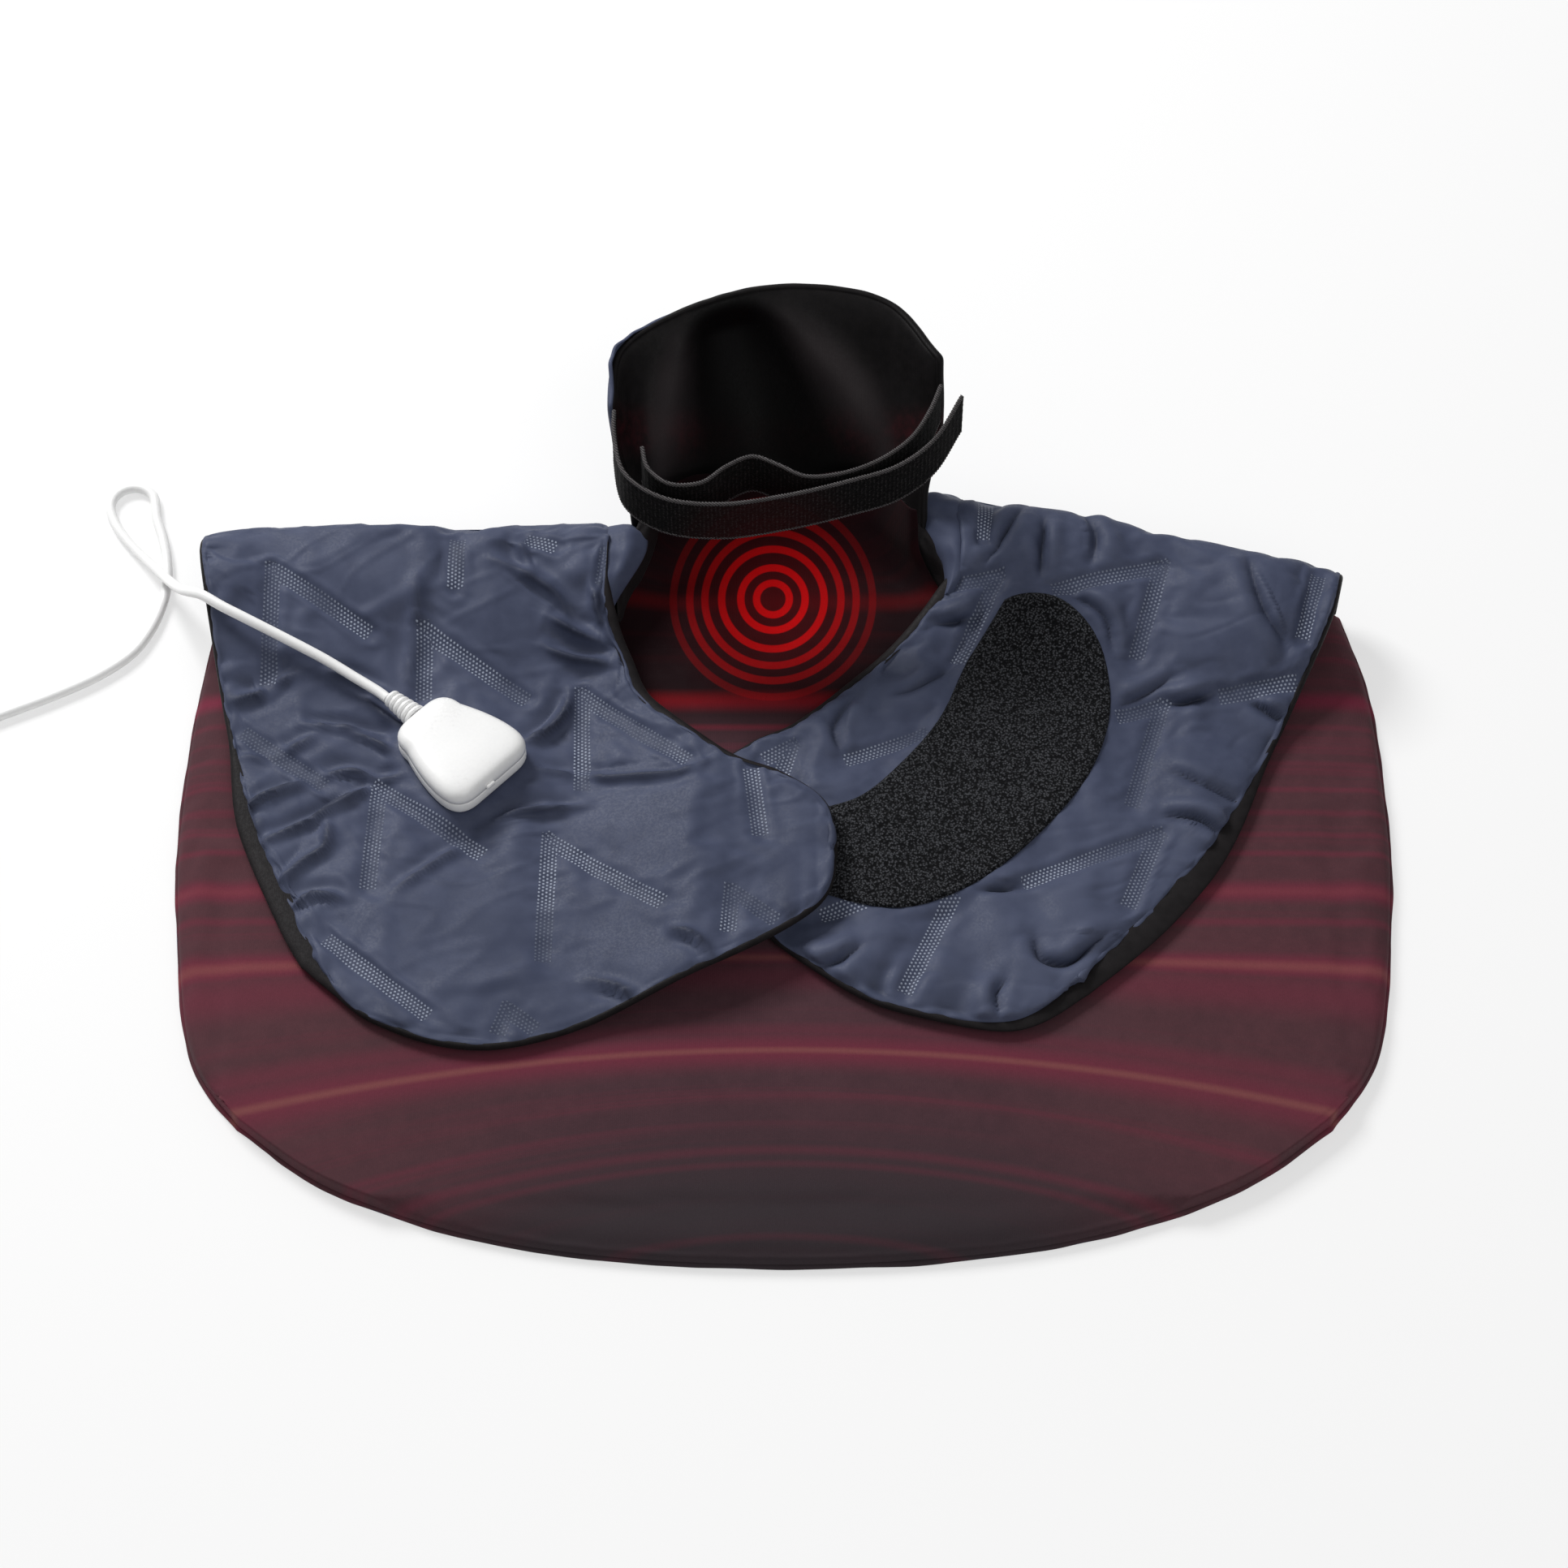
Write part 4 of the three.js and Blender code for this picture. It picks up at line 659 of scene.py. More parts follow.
def nearest_on(flat, line):
    """Distance of each flat place to a line, and the share of the line where that is."""
    along = np.concatenate([[0], np.cumsum(np.linalg.norm(np.diff(line, axis=0), axis=1))])
    nearest, share = np.full(len(flat), 1e9), np.zeros(len(flat))
    for k, (a, b) in enumerate(zip(line, line[1:])):
        edge, reach = b - a, flat - a
        t = np.clip(reach @ edge / (edge @ edge), 0, 1)
        distance = np.linalg.norm(reach - t[:, None] * edge, axis=1)
        nearer = distance < nearest
        nearest[nearer] = distance[nearer]
        share[nearer] = (along[k] + t[nearer] * (along[k + 1] - along[k])) / along[-1]
    return nearest, share


def outside(flat, corners):
    """Signed distance to a closed outline, negative inside it."""
    corners = np.asarray(corners, float)
    inside = np.zeros(len(flat), bool)
    for a, b in zip(corners, np.roll(corners, -1, axis=0)):
        crosses = (a[1] > flat[:, 1]) != (b[1] > flat[:, 1])
        with np.errstate(divide="ignore", invalid="ignore"):
            at = a[0] + (flat[:, 1] - a[1]) / (b[1] - a[1]) * (b - a)[0]
        inside ^= crosses & (flat[:, 0] < at)
    distance, _ = nearest_on(flat, np.vstack([corners, corners[:1]]))
    return np.where(inside, -distance, distance)


def soft_folds(side, flat):
    """How far the satin sinks in its folds, and how it stands up beside them, more on one side."""
    rise = np.zeros(len(flat))
    scale = np.array((flap_width, flap_depth, 0))
    for depth, width, *corners in fold_lines[side]:
        line = rounded_line(np.column_stack([corners, np.zeros(len(corners))]) * scale, 6)[:, :2]
        distance, share = nearest_on(flat, line)
        ahead = line[-1] - line[0]
        over = (flat - line[0]) @ (-ahead[1], ahead[0]) > 0
        taper = np.sin(math.pi * np.clip(share, 0.02, 0.98)) ** 0.6
        valley = np.exp(-(distance / (0.5 * width)) ** 1.3)
        beside = np.exp(-((distance - 1.35 * width) / width) ** 2)
        rise += depth * taper * (np.where(over, 1.35, 0.5) * beside - 1.7 * valley)
    return rise


def crease_satin(piece, side):
    """Sinks the folds and gathers into the swollen satin, along its own normals."""
    mesh = piece.data
    corners = corners_of(piece)
    flat, reach = (np.zeros((len(mesh.vertices), 2)) for _ in range(2))
    for name, values in (("flat", flat), ("reach", reach)):
        values[corners] = read_uv(piece, name) / mm
    mesh.uv_layers.remove(mesh.uv_layers["reach"])
    rise = soft_folds(side, flat) + gathers(flat, reach[:, 0], reach[:, 1], gather_seed[side])
    rise *= 0.25 + 0.75 * smooth(near_channel(side, flat), channel_half - 1.5, channel_half + 4)
    rise *= smooth(around_fitting(side, flat), 0, 9)
    rise *= smooth(reach.min(axis=1), 0, 5)
    # Painted shade and highlight: the relief layer holds how far each place sinks and stands up, so the
    # satin is painted darker in its valleys and lighter on its rises
    relief = np.stack([np.clip(-rise / 2.6, 0, 1), np.clip(rise / 3.4, 0, 1)], axis=1)
    write_uv(piece, "relief", relief[corners])
    normals = np.empty(len(mesh.vertices) * 3, np.float32)
    mesh.vertex_normals.foreach_get("vector", normals)
    places = places_of(piece) + normals.reshape(-1, 3) * rise[:, None] * mm
    rolled_tight(places, side, flat[:, 1])
    set_places(piece, places)


def rolled_tight(places, side, past_fold):
    """Keeps the satin behind the shoulder within the roll, clear of the panel's edge."""
    x0, y0, turn = fold_places[side]
    c, s = math.cos(math.radians(turn)), math.sin(math.radians(turn))
    across = c * (places[:, 1] / mm - y0) - s * (places[:, 0] / mm - x0)
    above = places[:, 2] / mm - fold_height
    room = fold_radius - fit_gap + 8 * (1 - smooth(past_fold, 8, 20))
    shrunk = np.minimum(1, room / np.maximum(np.hypot(across, above), 1))
    less = np.where(past_fold > 8, shrunk, 1) - 1
    places += np.stack([-s * across * less, c * across * less, above * less], axis=1) * mm


def patch_outline():
    points = np.array(patch_edge) * patch_length
    ring = np.column_stack([np.vstack([points[-2:], points, points[:3]]), np.zeros(len(points) + 5)])
    return rounded_line(ring, 6)[12:-18, :2]


def connector_frame(flat):
    """Flat places as seen from the connector: x from the cord's end, y across."""
    c, s = math.cos(connector_turn), math.sin(connector_turn)
    x, y = (flat - connector_place).T
    return np.stack([c * x + s * y, -s * x + c * y], axis=1)


def around_fitting(side, flat):
    """How far flat places lie outside the connector or the patch that the flap carries."""
    if side == "left":
        return outside(connector_frame(flat), connector_outline(0))
    return outside(flat, patch_outline())


def flap_shell(side):
    """The satin side of a flap, before its padding swells."""
    grid = flap_sheet(side, fabric_step)
    flat = grid["flat"].reshape(-1, 2)
    edge = np.minimum(grid["sides"], grid["front"]).ravel()
    near = near_channel(side, flat)
    around = around_fitting(side, flat)
    seated, border, level = fitting_seats[side]
    level_share = 1 - smooth(around, 0, seated)
    pressed = (1 - smooth(near, channel_half - 1.5, channel_half + 1.5)) * (1 - level_share)
    valley = puff_height * (1 - smooth(near, channel_half, puff_reach)) * (1 - level_share)
    rise = noise_over(flat, (1, 44, 28, 3.5), (0.5, 19, 17, 8.5)) * (1.6 * smooth(edge, 0, 14))
    rise = rise * (1 - level_share) + level * level_share
    held = np.where((near < channel_half - 0.8) | (around < border) | (edge < 0.2), 1.0, 0.0)
    held = held.reshape(grid["sides"].shape)
    held[-3:] = 1
    depth = np.minimum(channel_press, 0.45 * swell(edge, flap_slope) * flap_thickness)
    dip = pressed * depth + valley * swell(edge, flap_slope)
    height = grid["upper"].ravel() + rise - dip - shell_thickness / 2
    places = grid["place"].reshape(-1, 3) + grid["normal"].reshape(-1, 3) * height[:, None]
    piece = new_piece(side + "_flap_satin", in_place(places, side),
                      grid_faces(*grid["sides"].shape, flip=True), channel_satin)
    reach = np.stack([grid["sides"].ravel(), grid["front"].ravel()], axis=1)
    for name, values in (("flat", flat), ("reach", np.minimum(reach, [1e9, 99]))):
        write_uv(piece, name, values[corners_of(piece)] * mm)
    return piece, held.ravel()


def flap_lining(side):
    """The dark side of a flap, with its rolled edge that shows beside the satin."""
    grid = flap_sheet(side, fabric_step * 1.3)
    rows, columns = grid["sides"].shape
    places = (grid["place"] + grid["normal"] * grid["lower"][..., None]).reshape(-1, 3)
    index = np.arange(rows * columns).reshape(rows, columns)
    border = np.concatenate([index[::-1, 0], index[0, 1:], index[1:, -1]]).tolist()
    ring, normals = places[border], grid["normal"].reshape(-1, 3)[border]
    out = out_from(ring, normals, places[index[rows // 2, columns // 2]])
    lip = edge_width(side, grid["flat"].reshape(-1, 2)[border])
    faces = grid_faces(rows, columns)
    everything = with_rows(places, faces, border, [
        ring + out * (lip * reach)[:, None] + normals * rise for reach, rise in lip_profile])
    piece = new_piece(side + "_flap_lining_pad", in_place(everything, side), faces, black_lining)
    facing_out(piece)
    return piece


def edge_width(side, flat):
    """How wide the dark edge shows beside the satin."""
    x, y = flat[:, 0] / flap_width, flat[:, 1] / flap_depth
    if side == "left":
        wide = 6.4 * smooth(-x, 0.6, 0.74) * smooth(-y, 0.34, 0.56) * (1 - smooth(-y, 0.84, 0.96))
        neck = 2.6 * smooth(x, -0.1, -0.02) * (1 - smooth(-y, 0.3, 0.5))
    else:
        wide = 8.6 * smooth(x, 0.3, 0.78) * smooth(-y, 0.3, 0.62)
        neck = 2.4 * (1 - smooth(x, 0.15, 0.3)) * (1 - smooth(-y, 0.3, 0.5))
    by_neck = x > -0.2 if side == "left" else x < 0.3
    return (1.7 + wide + neck) * np.where(by_neck, 0.12 + 0.88 * smooth(-y, 0.05, 0.16), 1)


def swollen(pads):
    """Cloth simulation on several sheets at once: each swells between the places that hold it."""
    resting = [places_of(piece) for piece, *_ in pads]
    for piece, held, pressure, spare, _ in pads:
        group = piece.vertex_groups.new(name="held")
        shares = np.round(held, 2)
        for weight in np.unique(shares[shares > 0]):
            group.add(np.nonzero(shares == weight)[0].tolist(), float(weight), "REPLACE")
        cloth = piece.modifiers.new("cloth", "CLOTH")
        for name, value in {**cloth_settings, "uniform_pressure_force": pressure,
                            "vertex_group_mass": "held", "shrink_min": -spare}.items():
            setattr(cloth.settings, name, value)
        cloth.settings.effector_weights.gravity = 0
        cloth.collision_settings.use_collision = False
        cloth.collision_settings.use_self_collision = False
        cloth.point_cache.frame_start = 1
        cloth.point_cache.frame_end = cloth_frames
    for frame_number in range(1, cloth_frames + 1):
        scene.frame_set(frame_number)
    for (piece, *_, most), before in zip(pads, resting):
        activate(piece)
        bpy.ops.object.modifier_apply(modifier="cloth")
        piece.vertex_groups.clear()
        shift = places_of(piece) - before
        far = np.linalg.norm(shift, axis=1, keepdims=True)
        shift *= most * np.tanh(far / most) / np.maximum(far, 1e-9)
        shift[:, 2] = np.maximum(shift[:, 2], -most_sunk)
        set_places(piece, before + shift)
    scene.frame_set(1)


# Back panel

panel_width, panel_length = 566, 386
panel_slope = 26
panel_fold_slope = 8
panel_hem = [(-0.859, 0.179), (-0.689, 0.091), (-0.396, 0.023), (0, 0), (0.396, 0.023),
             (0.689, 0.091), (0.859, 0.179)]
panel_left = [(0.859, 0.179), (0.947, 0.28), (0.993, 0.495), (1, 0.64), (0.99, 0.8),
              (0.961, 0.974)]
panel_right = [(0.859, 0.179), (0.947, 0.28), (0.993, 0.495), (1, 0.64), (0.99, 0.8),
               (0.955, 0.917)]
panel_fold = [(-0.961, 0.974), (-0.618, 0.984), (-0.297, 0.99), (0, 1.005), (0.247, 1.03),
              (0.6, 0.99), (0.955, 0.917)]


def on_panel(shares, way=1):
    return np.array([(way * x * panel_width / 2, (y - 0.5) * panel_length) for x, y in shares])


def panel_sheet(step):
    u = stations(panel_width, step)
    v = stations(panel_length, step)
    spots = four_sided(on_panel(panel_hem), on_panel(panel_fold), on_panel(panel_left, -1),
                       on_panel(panel_right), u, v)
    sides = np.minimum(u, 1 - u)[None, :] * panel_width + 0 * v[:, None]
    front = v[:, None] * panel_length + 0 * sides
    rear = (1 - v)[:, None] * panel_length + 0 * sides
    full = swell(sides, panel_slope) * swell(front, panel_slope) * swell(rear, panel_fold_slope)
    upper = seam_thickness + (back_thickness - seam_thickness) * full
    return {"spots": spots, "upper": upper, "edge": np.minimum(np.minimum(sides, front), rear)}


def ring_of(rows, columns):
    """The border of a grid, as numbers of its places, once round."""
    index = np.arange(rows * columns).reshape(rows, columns)
    return np.concatenate([index[0, :-1], index[:-1, -1], index[-1, :0:-1], index[:0:-1, 0]]).tolist()


def outward(places, ring):
    """Level directions that point out of a closed border."""
    line = places[ring]
    ahead = np.roll(line, -1, axis=0) - np.roll(line, 1, axis=0)
    out = np.stack([ahead[:, 1], -ahead[:, 0], 0 * ahead[:, 0]], axis=1)
    return out / np.maximum(np.linalg.norm(out, axis=1, keepdims=True), 1e-9)


def with_rim(places, faces, ring, out, profile):
    """Adds rows round a closed border: each steps outwards and up from it."""
    return with_rows(places, faces, ring, [
        places[ring] + out * reach + (0, 0, rise) for reach, rise in profile], closed=True)


def back_lining_pad():
    """The panel's lining: it lies in low soft waves, and its edge wanders a little."""
    grid = panel_sheet(panel_step)
    rows, columns = grid["edge"].shape
    spots, edge = grid["spots"], grid["edge"]
    flat = spots.reshape(-1, 2)
    wave = noise_over(flat, (1, 70, 45, 2.5), (0.5, 26, 22, 6.5))
    ripple = 0.9 * noise_over(flat, (1, 12, 12, 9.5)) * np.exp(-edge.ravel() / 14)
    rise = (wave + ripple).reshape(edge.shape) * smooth(edge, 0, 8)
    covered = smooth(spots[..., 1], 20, 60) * (1 - smooth(np.abs(spots[..., 0]), 250, 272))
    rise = rise * (1 - 0.75 * covered) - 0.5 * covered
    level = grid["upper"] + rise - lining_thickness / 2
    places = np.concatenate([spots, level[..., None]], axis=2).reshape(-1, 3)
    ring = ring_of(rows, columns)
    wander = noise_over(places[ring][:, :2], (1, 22, 22, 12.5), (0.5, 8, 8, 14.5))
    out = outward(places, ring) * (1 + 0.5 * wander)[:, None]
    faces = grid_faces(rows, columns, flip=True)
    places = with_rim(places, faces, ring, out, [(0.9, -0.3), (1.4, -1.0), (1.2, -1.7)])
    piece = new_piece("back_lining_pad", places * mm, faces, maroon_lining)
    held = np.zeros(len(places))
    held[ring] = 1
    held[rows * columns:] = 1
    under = covered.ravel() > 0.5
    inner = np.nonzero((edge.ravel() < 3) | under)[0]
    held[inner] = np.maximum(held[inner], np.where(under[inner], 0.6, 1))
    return piece, held


def back_shell_cloth():
    """The satin side of the back panel, which lies on the table."""
    grid = panel_sheet(panel_step * 2)
    rows, columns = grid["edge"].shape
    level = np.full((rows, columns, 1), 0.7)
    places = np.concatenate([grid["spots"], level], axis=2).reshape(-1, 3)
    ring, faces = ring_of(rows, columns), grid_faces(rows, columns)
    places = with_rim(places, faces, ring, outward(places, ring), [(0.8, 0.1), (1.2, 0.6)])
    return new_piece("back_shell_cloth", places * mm, faces, shell_satin)


# Collar

collar_half, collar_height, collar_rise = 82, 109.6, 4.4
collar_y, collar_lean = 188.5, 87.5
collar_slope = 12
collar_base = [(-0.9, 0, 0.11), (-0.62, 0.06, 0.09), (0, 0.09, 0.03), (0.62, 0.07, 0.09),
               (0.94, -0.12, 0.11)]
collar_top = [(-1, 0.3, 0.86), (-0.95, 0.62, 0.92), (-0.56, 0.87, 0.97), (0, 1, 1),
              (0.6, 0.92, 0.97), (0.9, 0.55, 0.94)]


def on_collar(shares):
    return np.array([(x * collar_half, collar_y + y * collar_lean, collar_rise + z * collar_height)
                     for x, y, z in shares])


def curve_at(points, t):
    """Places at the shares t of a centripetal curve."""
    fine = rounded_line(points, 40)
    run = np.clip(t, 0, 1) * (len(fine) - 1)
    k = np.minimum(run.astype(int), len(fine) - 2)
    w = (run - k)[:, None]
    return fine[k] * (1 - w) + fine[k + 1] * w


def collar_sheet(step):
    u = stations(178, step)
    v = stations(collar_height, step, first=False)
    base, top = curve_at(on_collar(collar_base), u), curve_at(on_collar(collar_top), u)
    share = v[:, None, None]
    places = base[None] * (1 - share) + top[None] * share
    low = 1 - smooth(v, 0.3, 0.78)
    drawn_in = np.where(u < 0.5, 0.05, 0.12) * smooth(np.abs(u - 0.5), 0.1, 0.5)
    places[..., 0] *= 1 - drawn_in[None] * low[:, None]
    middle = smooth(u, 0.34, 0.5) * (1 - smooth(u, 0.5, 0.66))
    places[..., 1] += 7 * middle[None] * 4 * v[:, None] * (1 - v[:, None])
    along = np.gradient(places, axis=1)
    rise = np.broadcast_to((top - base)[None], places.shape)
    back = -np.cross(along, rise)
    back /= np.linalg.norm(back, axis=2, keepdims=True)
    end = swell(np.minimum(u, 1 - u) * 178, collar_slope)[None]
    rim = swell((1 - v) * collar_height, collar_slope)[:, None]
    width = seam_thickness + (7.4 - seam_thickness) * end * rim
    return {"places": places, "back": back, "width": width, "u": u, "v": v,
            "edge": np.minimum(np.minimum(u, 1 - u)[None] * 178, (1 - v[:, None]) * collar_height)}


def collar_pleat(u, v):
    """A soft fold that falls from the middle of the rim and opens downwards."""
    u, v = u[None, :], v[:, None]
    q = (u - 0.53 + 0.06 * v) / (0.29 - 0.22 * v)
    fade = smooth(v, 0.1, 0.35) * (1 - 0.6 * smooth(v, 0.85, 1))
    recess = -8.5 * np.exp(-(np.abs(q) / 0.85) ** 2.6) * fade
    ridges = 4.4 * np.exp(-((np.abs(q) - 1.25) / 0.42) ** 2) * smooth(v, 0.2, 0.5)
    side = 1.6 * np.exp(-((u - 0.17) / 0.07) ** 2 - ((v - 0.62) / 0.22) ** 2)
    side = side + 1.4 * np.exp(-((u - 0.84) / 0.07) ** 2 - ((v - 0.55) / 0.25) ** 2)
    return recess + ridges + side


def collar_relief(u, v):
    """Where the collar's fall lies in the dark, and where its ridges catch light."""
    u, v = u[None, :], v[:, None]
    q = np.abs((u - 0.53 + 0.06 * v) / (0.31 - 0.24 * v))
    dark = 1 - smooth(q, 0.6, 1.1)
    light = np.exp(-((q - 1.4) / 0.42) ** 2) * smooth(v, 0.1, 0.45) * (1 - smooth(v, 0.75, 1))
    return np.stack([dark + 0 * v, light], axis=-1)


def make_collar():
    """The dark front of the collar and the satin behind it, both rolled over at the rim."""
    grid = collar_sheet(2.4)
    places, back, width, edge, u, v = (grid[k] for k in ("places", "back", "width", "edge", "u", "v"))
    rows, columns = width.shape
    pleat, pleated = collar_pleat(u, v), smooth(edge, 0, 14)
    soft = [np.array([[soft_noise(x / grain_x, y / grain, z / grain + shift) for x, y, z in row]
                      for row in places]) for grain_x, grain, shift in ((24, 30, 0), (16, 22, 4))]
    front = width / 2 - 0.5 + pleat * pleated + 0.8 * soft[0] * smooth(edge, 0, 10)
    pushed = np.maximum(0, -pleat - 2.2) * pleated
    behind = width / 2 + soft[1] * smooth(edge, 0, 12) + pushed
    index = np.arange(rows * columns).reshape(rows, columns)
    border = np.concatenate([index[:, 0], index[-1, 1:], index[-2::-1, -1]]).tolist()
    rim, rim_back = places.reshape(-1, 3)[border], back.reshape(-1, 3)[border]
    rim_width = width.ravel()[border]
    out = out_from(rim, rim_back, places[rows // 2, columns // 2])
    crinkle = np.array([soft_noise(*(place / 7)) for place in rim])
    peek = (np.exp(-((u - 0.16) / 0.13) ** 2)[None] * smooth(v, 0.5, 0.85)[:, None]).ravel()[border]
    for name, depth, flip, more, profile, paint in (
            ("collar_lining_pad", -front, False, 0.35 * crinkle,
             [(0.8, -0.62), (1.7, -0.3), (2.0, 0.1), (1.5, 0.5)], collar_black),
            ("collar_satin", behind, True, peek * 3.4 * (1 + 0.8 * crinkle),
             [(0.9, 0.42), (1.5, 0.2), (1.6, -0.05), (1.0, -0.2)], shell_satin)):
        faces = grid_faces(rows, columns, flip)
        everything = with_rows((places + back * depth[..., None]).reshape(-1, 3), faces, border, [
            rim + out * (reach + more)[:, None] + rim_back * (rim_width * share)[:, None]
            for reach, share in profile])
        piece = new_piece(name, everything * mm, faces, paint)
        if paint == collar_black:
            # Painted shade and highlight: the collar's fall is painted dark and its ridges lighter
            relief = np.zeros((len(everything), 2))
            relief[:rows * columns] = collar_relief(u, v).reshape(-1, 2)
            write_uv(piece, "relief", relief[corners_of(piece)])
        facing_out(piece)
        subdivided(piece)
        thickened(piece, 0.9 * mm, 0)
        apply_modifiers(piece)
        smooth_shade(piece)
        if paint == collar_black:
            settle(piece, "back", "black_lining", "collar_lining", fill=0.4)
        else:
            settle(piece, "back", "shell_fabric", "collar_shell", "collar_wadding", fill=0.4)


def make_neck_lining():
    """One cloth from the back lining up to the front of the collar's foot."""
    x = np.linspace(-82, 82, 71)
    foot = curve_at(on_collar(collar_base), np.linspace(0, 1, 200))
    foot_y, foot_z = np.interp(x, foot[:, 0], foot[:, 1]), np.interp(x, foot[:, 0], foot[:, 2])
    side = smooth(np.abs(x), 52, 84)
    lean = 0.62 - 0.3 * side
    rise = np.sqrt(1 - lean * lean)
    front = [(x, 0 * x + 136, 10.6 + 0 * x), (x, 0 * x + 148, 11.5 + 2 * side),
             (x, foot_y - 28, 11.9 + 5 * side), (x * 0.93, foot_y - 13, 12.2 + 7 * side)]
    for climb, gap, narrow in ((7, 6.2, 0.85), (18, 6.4, 0.8), (30, 6.4, 0.79), (40, 5.4, 0.78)):
        front.append((x * narrow, foot_y - gap * rise + climb * lean,
                      foot_z + gap * lean + climb * rise))
    line = np.array([np.stack(places, axis=1) for places in front])
    rows = np.array([rounded_line(line[:, j], 6) for j in range(len(x))]).transpose(1, 0, 2)
    soft = np.array([[soft_noise(x / 26, y / 20, 3.5) for x, y, _ in row] for row in rows])
    rows[..., 2] += 0.8 * soft * smooth(rows[..., 1], 138, 150)
    sewn_sheet("neck_lining", rows, maroon_lining)


gusset_edges = {
    "left": ([(-80, 148, 17), (-81, 159, 24), (-79, 170, 31), (-76, 180, 36), (-72, 189, 38),
              (-70, 198, 38)],
             [(-79, 149, 15), (-75, 162, 13), (-69, 174, 17), (-63, 184, 27), (-60, 192, 40),
              (-61, 200, 52)]),
    "right": ([(79, 150, 17), (82, 162, 24), (79, 173, 31), (72, 185, 36), (66, 195, 38),
               (62, 204, 38)],
              [(78, 151, 15), (76, 164, 14), (70, 175, 18), (62, 184, 27), (57, 190, 38),
               (55, 198, 50)])}


def sewn_sheet(name, rows, paint, side=None, way=(0, -0.5, 1),
               thickness=0.9):
    """A finished sheet of cloth on the back, from a grid of places; one edge may join a flap."""
    piece = new_piece(name, rows.reshape(-1, 3) * mm, grid_faces(*rows.shape[:2]), paint)
    facing(piece, way)
    thickened(piece, thickness * mm, -1)
    subdivided(piece)
    apply_modifiers(piece)
    smooth_shade(piece)
    if side:
        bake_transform(piece)
    else:
        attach(piece, "back")


def make_neck_gusset(side):
    """The soft black web between the collar's side, the flap's corner and the neck lining."""
    outer, inner = (rounded_line(points, 5) for points in gusset_edges[side])
    share = np.linspace(0, 1, 15)
    bulge = 4 * share * (1 - share)
    rows = []
    for k, (a, b) in enumerate(zip(outer, inner)):
        row = a + (b - a) * share[:, None]
        crumple = np.array([soft_noise(k / 3.2, s * 2.4, len(side)) for s in share])
        full = bulge * min(1, k / 2)
        row[:, 2] += full * (2.6 + 3.2 * crumple) * min(1, k / 6)
        row[:, 1] -= full * (1.8 + 2.2 * crumple) * min(1, k / 6)
        rows.append(row)
    sewn_sheet(side + "_neck_gusset", np.array(rows), black_lining,
               side)


neck_corner_reach = {"left": 19, "right": 24}
neck_corner_depth = 44
# Where a sheet stops following the back and where it starts following the flap
fold_spans = {"left": (-196, -7), "right": (20, 199)}


def make_neck_corner(side):
    """Satin that carries the shoulder fold on from the flap to the collar."""
    way = 1 if side == "left" else -1
    edge = np.array(neck_edges[side][:4]) * (flap_width, flap_depth)
    inner = fold_radius - flap_thickness
    top = fold_height + inner
    share = np.linspace(0, 1, 13)
    steps = [(math.cos(a) * inner, fold_height + math.sin(a) * inner, math.cos(a), math.sin(a), 0)
             for a in np.radians(np.linspace(-70, 90, 19))]
    steps += [(-d, top + (flap_rest - top) * smooth(d, 0, fold_run), 0, 1, d)
              for d in np.linspace(2.5, neck_corner_depth, 15)]
    rows = []
    for k, (y, z, out_y, out_z, front) in enumerate(steps):
        reach = neck_corner_reach[side] * (1 - smooth(front, 0, neck_corner_depth)) + 0.4
        x = np.interp(front, -edge[:, 1], edge[:, 0]) + way * (-5 + (reach + 5) * share)
        crumple = np.array([soft_noise(k / 3.5, s * 2.2, 7 + way) for s in share])
        height = 4.8 + (2.8 + 3.4 * crumple) * np.sin(math.pi * share) - 3.4 * share ** 4
        row = np.stack([x, y + out_y * height, z + out_z * height], axis=1)
        rows.append(in_place(row, side) / mm)
    sewn_sheet(side + "_neck_corner", np.array(rows), shell_satin,
               side)


def make_shoulder_fold(side):
    """The satin that runs from the panel's rear edge up over the shoulder fold."""
    x0, y0, turn = fold_places[side]
    x = np.linspace(*fold_spans[side], 76)
    c, s = math.cos(math.radians(turn)), math.sin(math.radians(turn))
    edge = curve_at(np.column_stack([on_panel(panel_fold), np.zeros(len(panel_fold))]),
                    np.linspace(0, 1, 400))
    rows = []
    for share in np.linspace(0, 1, 22):
        angle = math.radians(-82 + 88 * share)
        y_roll = math.cos(angle) * (fold_radius + 0.9)
        z_roll = fold_height + math.sin(angle) * (fold_radius + 0.9)
        px, py = x0 + c * x - s * y_roll, y0 + s * x + c * y_roll
        rear = np.interp(px, edge[:, 0], edge[:, 1])
        low = 1 - smooth(share, 0, 0.5)
        soft = np.array([soft_noise(a / 18, share * 3, 5.5) for a in px])
        y = py * (1 - low) + np.maximum(rear + 0.6, py - 6) * low + 0.5 * soft
        rows.append(np.stack([px, y, z_roll * (1 - low) + 2.2 * low + 0 * px], axis=1))
    sewn_sheet(side + "_shoulder_fold", np.array(rows), shell_satin,
               side, (0, 1, 0), 0.8)


# Collar strap

